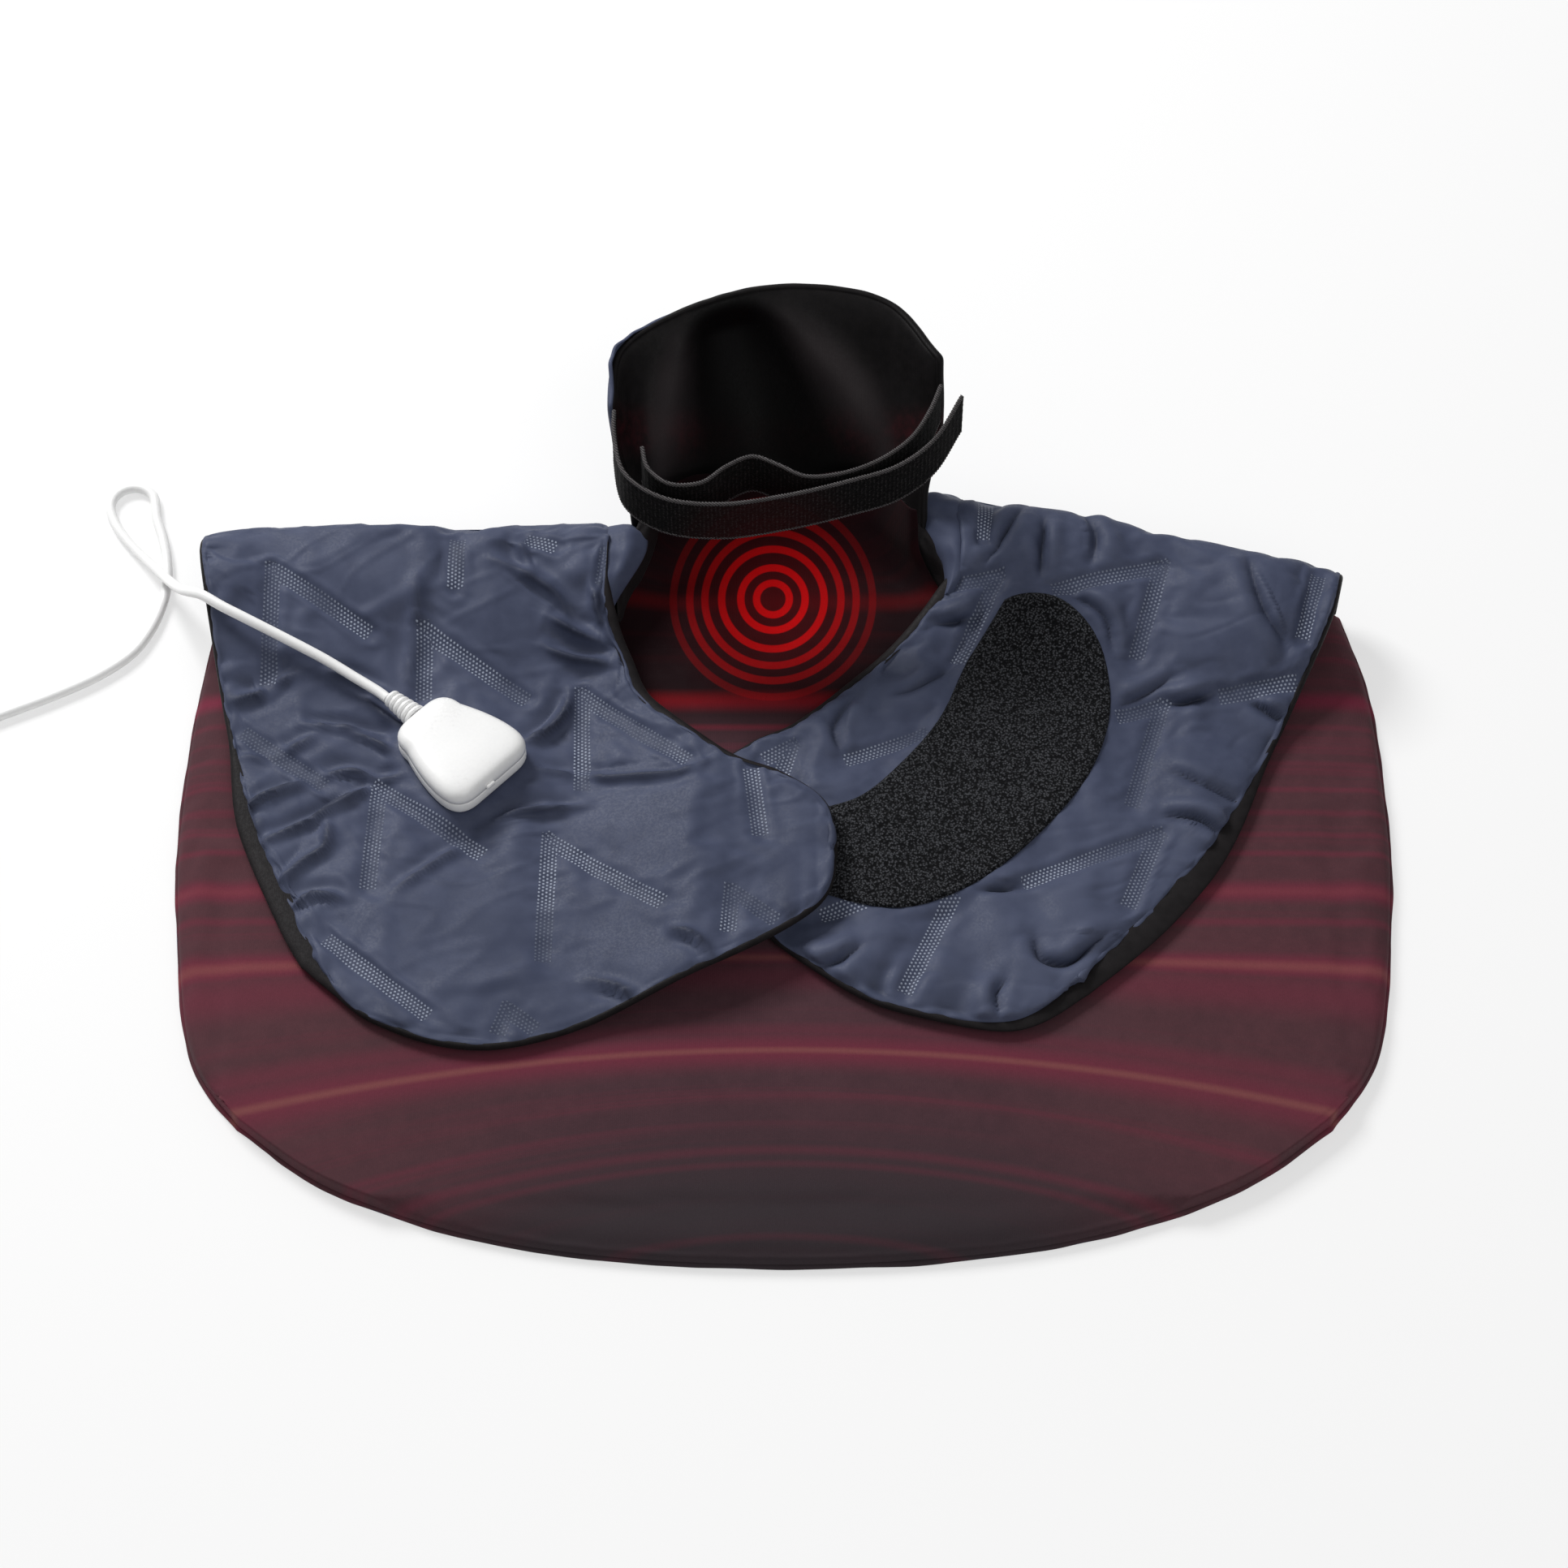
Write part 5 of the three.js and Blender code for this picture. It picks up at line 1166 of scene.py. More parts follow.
strap_width, strap_thickness = 24, 1.8
strap_outer = [(-0.9829, 0.2194, 0.7901), (-0.9817, 0.0857, 0.781), (-0.9146, -0.1886, 0.7628),
               (-0.6951, -0.3486, 0.7536), (-0.3659, -0.3943, 0.7536), (0, -0.3371, 0.7536),
               (0.3659, -0.2457, 0.7628), (0.6585, -0.1543, 0.781), (0.8659, -0.0171, 0.8266),
               (1.0244, 0.1886, 0.9179)]
strap_inner = [(0.9098, 0.3509, 0.8358), (0.8415, 0.1886, 0.8175), (0.7317, 0.0286, 0.7901),
               (0.5366, -0.1086, 0.7673), (0.3171, -0.1886, 0.7582), (0.122, -0.2, 0.7536),
               (-0.0366, -0.12, 0.7536), (-0.1829, -0.0629, 0.7536), (-0.3293, -0.1314, 0.7536),
               (-0.4756, -0.2457, 0.7536), (-0.6585, -0.2571, 0.7582), (-0.7805, -0.1543, 0.7628),
               (-0.8171, -0.0171, 0.7719)]


strap_rows = 21
thread_sides, thread_step, thread_twist = 8, 0.42, 1.5


def make_strap(name, shares, body, seed):
    """A hook-and-loop band on edge, with its rough faces, and overlocked edges."""
    line = evenly(rounded_line(on_collar(shares), 30), 1.1)
    ahead = np.gradient(line, axis=0)
    across = np.stack([ahead[:, 1], -ahead[:, 0], 0 * ahead[:, 0]], axis=1)
    across /= np.linalg.norm(across, axis=1, keepdims=True)
    heights = np.linspace(-strap_width / 2 - 0.4, strap_width / 2 + 0.4, strap_rows)
    loops = []
    for way in (1, -1):
        for height in heights[::way]:
            bump = np.array([soft_noise(k * 0.55, height * 0.9, seed + way) for k in range(len(line))])
            half = strap_thickness / 2 - 0.15 + 0.28 * bump
            loops.append(line + across * (way * half)[:, None] + np.array((0, 0, height)))
    turns, count = len(loops), len(line)
    faces = []
    for k in range(count - 1):
        for s in range(turns):
            t = (s + 1) % turns
            faces.append((k * turns + s, k * turns + t, (k + 1) * turns + t, (k + 1) * turns + s))
    faces.append(tuple(range(turns)))
    faces.append(tuple(range((count - 1) * turns, count * turns))[::-1])
    band = new_piece(name + "_band", np.array(loops).transpose(1, 0, 2).reshape(-1, 3) * mm,
                     faces, hook_black)
    facing_out(band)
    smooth_shade(band, 50)
    fine = evenly(line, thread_step)
    edges = []
    for rise, label in ((strap_width / 2 + 0.3, "top"), (-strap_width / 2 - 0.3, "foot")):
        run = fine + np.array((0, 0, rise))
        edge = tube_mesh(name + "_" + label + "_edge", run * mm, 1.0 * mm, thread_sides,
                         overlock_thread)
        places = places_of(edge)
        ring, spoke = np.divmod(np.arange(len(places)), thread_sides)
        twist = 1 + 0.2 * np.sin(ring * thread_step / thread_twist * 2 * math.pi
                                 + spoke * 2 * math.pi / thread_sides)
        centre = np.repeat(run, thread_sides, axis=0) * mm
        set_places(edge, centre + (places - centre) * twist[:, None])
        facing_out(edge)
        smooth_shade(edge)
        edges.append(edge)
    settle(band, body, "hook_and_loop", name)
    for edge in edges:
        settle(edge, body, "hook_and_loop")


# Hook and loop patches

def filled_outline(outline, spacing, seed):
    """Triangles inside an outline, with rows of inner places."""
    run = np.vstack([outline, outline[:1]])
    border = evenly(np.column_stack([run, np.zeros(len(run))]), spacing)[:-1, :2]
    low, high = border.min(axis=0), border.max(axis=0)
    inner = []
    row = 0
    y = low[1]
    while y < high[1]:
        x = low[0] + (row % 2) * spacing / 2
        while x < high[0]:
            jitter = noise.noise_vector(Vector((x, y, seed))) * 0.25 * spacing
            inner.append((x + jitter.x, y + jitter.y))
            x += spacing
        y += spacing * 0.866
        row += 1
    inner = np.array(inner)
    inner = inner[outside(inner, border) < -0.6 * spacing]
    points = np.vstack([border, inner])
    edges = [(k, (k + 1) % len(border)) for k in range(len(border))]
    made = delaunay_2d_cdt([Vector(p) for p in points], edges, [], 1, 1e-5)
    return np.array([tuple(p) for p in made[0]]), [tuple(f) for f in made[2]]


def sewn_patch(name, side, flat, height, faces, way, thickness):
    """A rough patch on a flap, from flat places and their levels."""
    places = in_place(np.column_stack([flat, height]), side)
    piece = new_piece(name + "_fuzz", places, faces, loop_black)
    facing(piece, (0, 0, way))
    thickened(piece, thickness * mm, -1)
    apply_modifiers(piece)
    smooth_shade(piece)
    settle(piece, side + "_flap", "hook_and_loop", name)


def make_loop_patch():
    """Fuzzy loop fabric sewn on the right flap, with its stitched edge."""
    flat, faces = filled_outline(patch_outline(), 1.35, 4)
    inward = -outside(flat, patch_outline())
    top = fold_height + fold_radius
    level = top + (flap_rest + flap_thickness - top) * smooth(-flat[:, 1], 0, fold_run)
    fuzz = noise_over(flat, (1, 1.5, 1.5, 2.5), (0.6, 4.5, 4.5, 7))
    stitch = np.exp(-((inward - 3.2) / 0.7) ** 2)
    height = (level + 0.3 + 1.45 * smooth(inward, -0.3, 1.6) + 0.42 * fuzz * smooth(inward, 0.2, 2)
              - 0.45 * stitch)
    sewn_patch("loop_patch", "right", flat, height, faces, 1, 1.2)


hook_patch_length, hook_patch_width, hook_patch_turn = 70, 42, 30


def make_hook_patch():
    """Hooked patch under the left tongue."""
    half = (hook_patch_length - hook_patch_width) / 2
    angles = np.radians(np.arange(-90, 90, 6))
    ends = np.stack([np.cos(angles), np.sin(angles)], axis=1) * hook_patch_width / 2
    outline = np.vstack([ends + (half, 0), -ends - (half, 0)])
    c, s = math.cos(math.radians(hook_patch_turn)), math.sin(math.radians(hook_patch_turn))
    outline = outline @ np.array(((c, s), (-s, c))) + np.array((0.29 * flap_width, -0.72 * flap_depth))
    flat, faces = filled_outline(outline, 1.6, 8)
    inward = -outside(flat, outline)
    level = flap_rest + tongue_lift * smooth(flat[:, 0], -0.12 * flap_width, 0.2 * flap_width)
    fuzz = noise_over(flat, (1, 1.2, 1.2, 5.5))
    height = level - 0.4 - 0.75 * smooth(inward, -0.3, 1.2) + 0.2 * fuzz
    sewn_patch("hook_patch", "left", flat, height, faces, -1, 0.8)


# Moulded pieces

connector_length, connector_head, connector_neck, connector_corner = 54, 50, 36, 12
connector_base_height, connector_cover_height, connector_lift = 6.4, 8, 1.8


def quadratic(points, steps):
    a, b, c = (np.array(p, float) for p in points)
    t = np.linspace(0, 1, steps, endpoint=False)[:, None]
    return (1 - t) ** 2 * a + 2 * t * (1 - t) * b + t * t * c


def connector_outline(margin, steps=8):
    """Narrow at the cord, wide at the far end, as the solid's plan."""
    neck = connector_neck / 2 - margin
    head = connector_head / 2 - margin
    end = connector_length / 2 - margin
    corner = connector_corner
    runs = [
        [(-end + corner, -neck), (end - 2 * corner, -head), (end - corner, -head)],
        [(end - corner, -head), (end, -head), (end, -head + corner)],
        [(end, -head + corner), (end, 0), (end, head - corner)],
        [(end, head - corner), (end, head), (end - corner, head)],
        [(end - corner, head), (end - 2 * corner, head), (-end + corner, neck)],
        [(-end + corner, neck), (-end, neck - margin), (-end, neck - corner)],
        [(-end, neck - corner), (-end, 0), (-end, -neck + corner)],
        [(-end, -neck + corner), (-end, -neck), (-end + corner, -neck)]]
    return np.vstack([quadratic(run, steps) for run in runs])


def moved(piece, matrix):
    piece.data.transform(matrix)
    piece.data.update()


def flap_matrix(side):
    x0, y0, turn = fold_places[side]
    return (Matrix.Translation((x0 * mm, y0 * mm, 0)) @ Matrix.Rotation(math.radians(turn), 4, "Z"))


def connector_matrix():
    level = flap_rest + flap_thickness + connector_lift
    place = (connector_place[0] * mm, connector_place[1] * mm, level * mm)
    return flap_matrix("left") @ Matrix.Translation(place) @ Matrix.Rotation(connector_turn, 4, "Z")


def stacked(name, outline, steps, paint):
    """A closed shell raised from a flat outline: each step extrudes up and draws in."""
    bpy.ops.object.select_all(action="DESELECT")
    bpy.ops.mesh.primitive_circle_add(vertices=len(outline), radius=20 * mm, fill_type="NGON",
                                      location=(0, 0, 0))
    piece = bpy.context.object
    piece.name = piece.data.name = name
    first_inset, first_level = steps[0]
    size = np.abs(outline).max(axis=0)
    for vertex, (x, y) in zip(piece.data.vertices, outline):
        vertex.co = (x * (1 - first_inset / size[0]) * mm, y * (1 - first_inset / size[1]) * mm,
                     first_level * mm)
    bpy.ops.object.mode_set(mode="EDIT")
    bpy.ops.mesh.select_mode(type="FACE")
    bpy.ops.mesh.select_all(action="SELECT")
    for (inset, level), (next_inset, next_level) in zip(steps, steps[1:]):
        bpy.ops.mesh.extrude_region_move(
            TRANSFORM_OT_translate={"value": (0, 0, (next_level - level) * mm)})
        shrink = [(s - next_inset) / (s - inset) for s in size]
        bpy.ops.transform.resize(value=(shrink[0], shrink[1], 1), center_override=(0, 0, 0))
    bpy.ops.mesh.select_all(action="SELECT")
    bpy.ops.mesh.normals_make_consistent(inside=False)
    bpy.ops.object.mode_set(mode="OBJECT")
    piece.data.materials.append(paint)
    return piece


def set_moulding(piece, matrix, body, *stands_for):
    """Puts a white moulding in its place on a body."""
    moved(piece, matrix)
    smooth_shade(piece, 50)
    settle(piece, body, "white_plastic", *stands_for)
    return piece


def make_connector():
    outline = connector_outline(0)
    foot = connector_base_height
    top = foot + connector_cover_height
    split = foot + 0.25
    base = stacked("connector_lower_shell", outline, [
        (1.4, 0), (0.6, 0.25), (0.15, 0.9), (0, 1.8), (0, foot - 0.6), (0.3, foot - 0.2),
        (1.0, foot), (8, foot), (20, foot)], moulded_white)
    cover = stacked("connector_upper_shell", outline, [
        (20, split), (8, split), (1.0, split), (0.35, foot + 0.5), (0, foot + 0.9),
        (0.05, top - 5.2), (0.4, top - 3.9), (1.0, top - 2.8), (1.9, top - 1.8), (3.1, top - 1.05),
        (4.7, top - 0.55), (7.5, top - 0.25), (11, top - 0.1), (16, top), (21, top + 0.02)],
        moulded_white)
    nub = moulded_block("connector_nub", (2.4, 5, 2.2), (connector_length / 2 + 0.5, -5, foot + 2.6),
                        0.8, moulded_white)
    relief = ribbed_sleeve("connector_boot", 18, 12.4, 8.4, 6, 1.1, 3.5, moulded_white)
    moved(relief, Matrix.Translation(((-connector_length / 2 - 0.1) * mm, 0, foot * mm))
          @ Matrix.Rotation(-math.pi / 2, 4, "Y"))
    for piece, *stands_for in ((base, "connector_base"), (cover, "connector_cover"), (nub,),
                               (relief, "connector_relief")):
        set_moulding(piece, connector_matrix(), "left_flap", *stands_for)


def moulded_block(name, size, place, bevel, paint):
    bpy.ops.object.select_all(action="DESELECT")
    bpy.ops.mesh.primitive_cube_add(size=1 * mm, location=(0, 0, 0))
    piece = bpy.context.object
    piece.name = piece.data.name = name
    bpy.ops.object.mode_set(mode="EDIT")
    bpy.ops.mesh.select_all(action="SELECT")
    bpy.ops.transform.resize(value=size)
    bpy.ops.mesh.bevel(offset=bevel * mm, segments=3, affect="EDGES")
    bpy.ops.transform.translate(value=[c * mm for c in place])
    bpy.ops.object.mode_set(mode="OBJECT")
    piece.data.materials.append(paint)
    return piece


def turned(name, profile, steps, paint):
    """A closed shape spun about the Z axis from (radius, height) pairs in millimetres."""
    mesh = bpy.data.meshes.new(name)
    mesh.from_pydata([(r * mm, 0, z * mm) for r, z in profile],
                     [(k, k + 1) for k in range(len(profile) - 1)], [])
    piece = bpy.data.objects.new(name, mesh)
    scene.collection.objects.link(piece)
    activate(piece)
    bpy.ops.object.mode_set(mode="EDIT")
    bpy.ops.mesh.select_all(action="SELECT")
    bpy.ops.mesh.spin(steps=steps, angle=2 * math.pi, center=(0, 0, 0), axis=(0, 0, 1))
    bpy.ops.mesh.select_all(action="SELECT")
    bpy.ops.mesh.remove_doubles(threshold=0.01 * mm)
    bpy.ops.mesh.normals_make_consistent(inside=False)
    bpy.ops.object.mode_set(mode="OBJECT")
    piece.data.materials.append(paint)
    return piece


def ribbed_sleeve(name, length, root, tip, ribs, depth, plug, paint):
    """A tapered strain relief: round ribs with narrow grooves between them, up the Z axis."""
    pitch = length / ribs
    profile = [(0, -plug), (root / 2 - 2, -plug), (root / 2 - 2, 0)] if plug else [(0, 0)]
    for k in range(ribs):
        start = k * pitch
        for share, dip in ((0.0, 0.6), (0.08, 0.15), (0.2, 0), (0.5, 0), (0.62, 0.15), (0.7, 0.6),
                           (0.72, 1), (0.94, 1)):
            if k == ribs - 1 and share > 0.62:
                continue
            along = start + share * pitch
            radius = (root + (tip - root) * along / length) / 2 - dip * depth
            profile.append((radius, along))
    profile += [(tip / 2 - 0.7, length - 0.25 * pitch), (0, length - 0.2 * pitch)]
    return turned(name, profile, 32, paint)


def softened(name, width, body, slot, paint, segments=2):
    """The node's own shape with its edges rounded as moulding leaves them."""
    piece = bpy.data.objects.new(name + "_moulded", nodes[name].data.copy())
    scene.collection.objects.link(piece)
    piece.data.materials.clear()
    piece.data.materials.append(paint)
    activate(piece)
    bpy.ops.object.mode_set(mode="EDIT")
    bpy.ops.mesh.select_all(action="SELECT")
    bpy.ops.mesh.remove_doubles(threshold=0.005 * mm)
    bpy.ops.mesh.dissolve_limited(angle_limit=math.radians(0.6))
    bpy.ops.object.mode_set(mode="OBJECT")
    rounding = piece.modifiers.new("rounding", "BEVEL")
    rounding.width = width * mm
    rounding.segments = segments
    rounding.limit_method = "ANGLE"
    rounding.angle_limit = math.radians(24)
    rounding.use_clamp_overlap = True
    apply_modifiers(piece)
    smooth_shade(piece, 40)
    settle(piece, body, slot, name)
    return piece


controller_place = (-424, -32)
controller_height = 19


def on_controller(x, y, z=0, turn=0):
    """From the controller's own frame, x towards the wrap, to the object's."""
    return (Matrix.Translation((controller_place[0] * mm, controller_place[1] * mm, 0))
            @ Matrix.Rotation(math.pi / 2, 4, "Z") @ Matrix.Translation((x * mm, y * mm, z * mm))
            @ Matrix.Rotation(turn, 4, "Y"))


def make_controller():
    pieces = []
    top = controller_height + 1.3
    for name, x in (("power_button", 8), ("heat_button", -12), ("timer_button", -32)):
        cap = turned(name + "_cap", [
            (0, 14.35), (2, 14.35), (2, 15.5), (6.6, 15.5), (6.6, 16.7), (5.5, 16.7), (5.5, top - 1.1),
            (5.35, top - 0.5), (4.95, top - 0.12), (4.4, top), (3.2, top - 0.16), (1.6, top - 0.3),
            (0, top - 0.34)], 40, button_grey)
        pieces.append(set_moulding(cap, on_controller(x, 0), name, name))
    for name, way in (("control_cord_relief", 1), ("mains_cord_relief", -1)):
        sleeve = ribbed_sleeve(name + "_sleeve", 20, 9, 7, 6, 0.9, 1.6, moulded_white)
        place = on_controller(way * 63.3, 0, 9.15, way * math.pi / 2)
        pieces.append(set_moulding(sleeve, place, "back", name))
    return pieces


def make_plug():
    body = softened("plug_body", 0.9, "back", "white_plastic", moulded_white, 3)
    sleeve = ribbed_sleeve("plug_sleeve", 20, 9, 7, 6, 0.9, 0, moulded_white)
    place = Matrix.Translation((-489.45 * mm, (0.3 + 20 + 0.6 - 0.3) * mm, 8 * mm))
    turn = Matrix.Rotation(math.pi / 2, 4, "X")
    return [body, set_moulding(sleeve, place @ turn, "back", "plug_relief")]


def make_tie(name, coil, angle):
    """A thin band round the turns of a coil."""
    cord_radius = cord_diameter / mm / 2
    spread = coil["turns"] / 2 * coil_pitch / 2
    outer = coil["radius"] + spread + cord_radius + fit_gap
    inner = coil["radius"] - spread - cord_radius - fit_gap
    low, high, corner = 0.25, coil_rest + 5 + coil_pitch + 0.4, 2.4
    ring = []
    for (r, z), first in (((outer - corner, high - corner), 0), ((inner + corner, high - corner), 90),
                          ((inner + corner, low + corner), 180), ((outer - corner, low + corner), 270)):
        for turn in np.radians(np.arange(first, first + 91, 15)):
            ring.append((r + corner * math.cos(turn), z + corner * math.sin(turn)))
    c, s = math.cos(math.radians(angle)), math.sin(math.radians(angle))
    across = np.linspace(-3.5, 3.5, 6)
    x, y = coil["place"]
    places = [(x + c * r - s * w, y + s * r + c * w, z) for r, z in ring for w in across]
    faces = [tuple(k % len(places) for k in face)
             for face in grid_faces(len(ring) + 1, len(across))]
    tie = new_piece(name, np.array(places) * mm, faces, hook_black)
    facing_out(tie)
    thickened(tie, 0.36 * mm, 0)
    apply_modifiers(tie)
    smooth_shade(tie, 50)
    settle(tie, "back", "hook_and_loop")
    return tie


# Materials

full_turn = 6.2832


class Amount:
    """A value on its way through a material; sums and products of it add their nodes."""

    def __init__(self, tree, socket):
        self.tree, self.socket = tree, socket

    def calc(self, operation, *values):
        return amount(self.tree, "Math", dict(enumerate((self, *values))), operation=operation)

    def __add__(self, other):
        return self.calc("ADD", other)

    def __sub__(self, other):
        return self.calc("SUBTRACT", other)

    def __rsub__(self, other):
        return amount(self.tree, "Math", {0: other, 1: self}, operation="SUBTRACT")

    def __mul__(self, other):
        return self.calc("MULTIPLY", other)

    def __truediv__(self, other):
        return self.calc("DIVIDE", other)

    def __rtruediv__(self, other):
        return amount(self.tree, "Math", {0: other, 1: self}, operation="DIVIDE")

    def __abs__(self):
        return self.calc("ABSOLUTE")

    def most(self, other):
        return self.calc("MAXIMUM", other)

    def ramp(self, start, end, low=0.0, high=1.0):
        return amount(self.tree, "MapRange", {
            "Value": self, "From Min": start, "From Max": end, "To Min": low, "To Max": high},
            interpolation_type="SMOOTHSTEP")

    def mix(self, first, second):
        """The first colour where this is 0 and the second where it is 1."""
        first, second = ((*c, 1) if isinstance(c, tuple) else c for c in (first, second))
        return amount(self.tree, "Mix", {0: self, 6: first, 7: second}, 2, data_type="RGBA")

    def parts(self):
        made = node(self.tree, "SeparateXYZ", {0: self})
        return [Amount(self.tree, part) for part in made.outputs]

    def to(self, owner, key):
        self.tree.links.new(self.socket, owner.inputs[key])


def node(tree, kind, inputs=None, **settings):
    made = tree.nodes.new("ShaderNode" + kind)
    for key, value in settings.items():
        setattr(made, key, value)
    for key, value in (inputs or {}).items():
        if isinstance(value, Amount):
            value.to(made, key)
        else:
            made.inputs[key].default_value = value
    return made


def amount(tree, kind, inputs=None, output=0, **settings):
    return Amount(tree, node(tree, kind, inputs, **settings).outputs[output])


def speckle(place, scale, detail, roughness=0.5):
    return amount(place.tree, "TexNoise", {
        "Vector": place, "Scale": scale, "Detail": detail, "Roughness": roughness})


def most_of(values):
    found = values[0]
    for value in values[1:]:
        found = found.most(value)
    return found


def band_at(value, middle, half, flat=0.0):
    """One where value is at the middle, none a half width away."""
    return abs(value - middle).ramp(flat, half, 1.0, 0.0)


def new_group(name, inputs, outputs):
    """A group, its inputs as amounts, and the node that takes its outputs."""
    group = bpy.data.node_groups.new(name, "ShaderNodeTree")
    for label, value in inputs.items():
        kind = "NodeSocketVector" if value is None else "NodeSocketFloat"
        socket = group.interface.new_socket(name=label, in_out="INPUT", socket_type=kind)
        if value is not None:
            socket.default_value = value
    for label in outputs:
        group.interface.new_socket(name=label, in_out="OUTPUT", socket_type="NodeSocketFloat")
    given = group.nodes.new("NodeGroupInput")
    amounts = [Amount(group, given.outputs[label]) for label in inputs]
    return group, amounts, group.nodes.new("NodeGroupOutput")


def use(group, inputs):
    tree = next(value.tree for value in inputs.values() if isinstance(value, Amount))
    made = node(tree, "Group", node_tree=group)
    for key, value in inputs.items():
        if isinstance(value, Amount):
            value.to(made, key)
        else:
            made.inputs[key].default_value = value
    return [Amount(tree, output) for output in made.outputs]


def drift_of(place, broad, fine):
    return use(cloth_shading, {"Vector": place, "Broad": broad, "Fine": fine})[0]


def threads_of(place, pitch, slant):
    return use(woven_threads, {"Vector": place, "Pitch": pitch, "Slant": slant})


def weave_group():
    """Fine threads crossing at a pitch, and the slubs between them."""
    group, (place, pitch, slant), out = new_group(
        "woven_threads", {"Vector": None, "Pitch": 0.0006, "Slant": 0.5}, ("Height", "Slub"))
    x, y, z = place.parts()
    turn = full_turn / pitch
    level = z * 0.7 + y
    warp = ((level * slant + x) * turn).calc("SINE")
    weft = (level * turn).calc("SINE")
    (warp * weft * 0.5 + 0.5).to(out, "Height")
    speckle(place, 900.0, 2.0).to(out, "Slub")
    return group


def shade_group():
    """Soft drift of colour over a cloth, from broad to fine."""
    group, (place, broad, fine), out = new_group(
        "cloth_shading", {"Vector": None, "Broad": 14.0, "Fine": 160.0}, ["Shade"])
    mixed = speckle(place, fine, 4.0) * 0.45 + speckle(place, broad, 3.0) * 0.55
    mixed.ramp(0.32, 0.68).to(out, "Shade")
    return group


def dots_group():
    """Staggered rows of small pressed dots along a channel. Sizes are in millimetres."""
    group, (along, across, end, pitch, row_pitch, half), out = new_group(
        "pressed_dots", {"Along": 0.0, "Across": 0.0, "End": 0.0, "Pitch": 1.95, "Row": 1.75,
                         "Half width": 4.2}, ("Dots", "Channel"))
    rows = across / row_pitch
    row = rows.calc("ROUND")
    run = along / pitch + row.calc("FLOORED_MODULO", 2.0) * 0.5
    dx = (run.calc("FRACT") - 0.5) * pitch
    dy = (rows - row) * row_pitch
    dot = (dx * dx + dy * dy).calc("SQRT").ramp(0.38, 0.62, 1.0, 0.0)
    channel = (half - abs(across)).ramp(0.0, 0.5) * end.ramp(0.0, 0.6)
    (dot * channel).to(out, "Dots")
    channel.to(out, "Channel")
    return group


def new_paint(name, roughness, specular=0.5, sheen=0.0, sheen_roughness=0.4, coat=0.0):
    """A material, its surface and the place in it."""
    paint = bpy.data.materials.new(name)
    paint.use_nodes = True
    finish = paint.node_tree.nodes["Principled BSDF"]
    for key, value in (("Roughness", roughness), ("Specular IOR Level", specular),
                       ("Sheen Weight", sheen), ("Sheen Roughness", sheen_roughness),
                       ("Coat Weight", coat)):
        finish.inputs[key].default_value = value
    return paint, finish, amount(paint.node_tree, "TexCoord", output="Object")


def finished(finish, colour, rough=None, normal=None):
    for key, value in (("Base Color", colour), ("Roughness", rough), ("Normal", normal)):
        if value:
            value.to(finish, key)


def bumped(height, strength, distance, before=None):
    inputs = {"Height": height, "Strength": strength, "Distance": distance}
    if before:
        inputs["Normal"] = before
    return amount(height.tree, "Bump", inputs)


def uv_of(place, name):
    return amount(place.tree, "UVMap", uv_map=name).parts()


def satin(name, dark, light, dots):
    paint, finish, place = new_paint(name, 0.58, 0.17, 0.03, 0.4)
    colour = drift_of(place, 11.0, 130.0).mix(dark, light)
    height, slub = threads_of(place, 0.00055, 0.5)
    normal = bumped(height, 0.22, 0.00006)
    # With dots the satin also takes painted shade in its creases and painted highlight on its rises
    if dots:
        # Painted shade in the creases and painted highlight on the rises, from the relief layer
        valley, painted_ridge_highlight, _ = uv_of(place, "relief")
        colour = (valley * 0.62).mix(colour, (0.014, 0.017, 0.03))
        colour = (painted_ridge_highlight * 0.22).mix(colour, (0.115, 0.13, 0.19))
        along, across, _ = uv_of(place, "channel")
        stamp, channel = use(pressed_dots, {"Along": along, "Across": across,
                                            "End": uv_of(place, "channel_end")[0]})
        colour = (channel * 0.28).mix(colour, (0.026, 0.032, 0.052))
        bright = stamp * speckle(place, 26.0, 1.0).ramp(0.36, 0.66, 0.16, 0.85)
        colour = bright.mix(colour, (0.36, 0.4, 0.5))
        normal = bumped(stamp, 0.5, 0.0003, normal)
    finished(finish, colour, slub.ramp(0.3, 0.7, 0.5, 0.64), normal)
    return paint


# Each band of the lining: its middle, its half width, and how strong it is at the centre
# and towards the sides. Rows lie straight across the panel and bow towards the hem.
bow_start, bow_growth = -0.03, 9.2
lining_bands = [
    (-0.004, 0.009, 0.45, 0.8), (-0.04, 0.007, 0.5, 0.85), (-0.05, 0.012, 0.3, 0.42),
    (-0.079, 0.007, 0.3, 0.36), (-0.0893, 0.014, 0.72, 0.62), (-0.1405, 0.004, 0.3, 0.34),
    (-0.1475, 0.003, 0.26, 0.24), (-0.1828, 0.003, 0.22, 0.1), (-0.0207, 0.004, 0.3, 0.4),
    (0.0173, 0.003, 0.4, 0.42), (0.028, 0.003, 0.34, 0.36), (0.0403, 0.003, 0.4, 0.34),
    (0.0535, 0.003, 0.4, 0.4), (0.0685, 0.003, 0.4, 0.3), (0.105, 0.0085, 0.95, 0.9),
    (0.0895, 0.003, 0.5, 0.3), (0.1635, 0.008, 0.4, 0.45)]
# Painted highlight: pale lines along the middle of three bands, each with its middle, half width and
# strength
painted_highlight_lines = [(-0.0893, 0.0026, 0.45), (-0.04, 0.003, 0.38), (-0.004, 0.004, 0.12)]
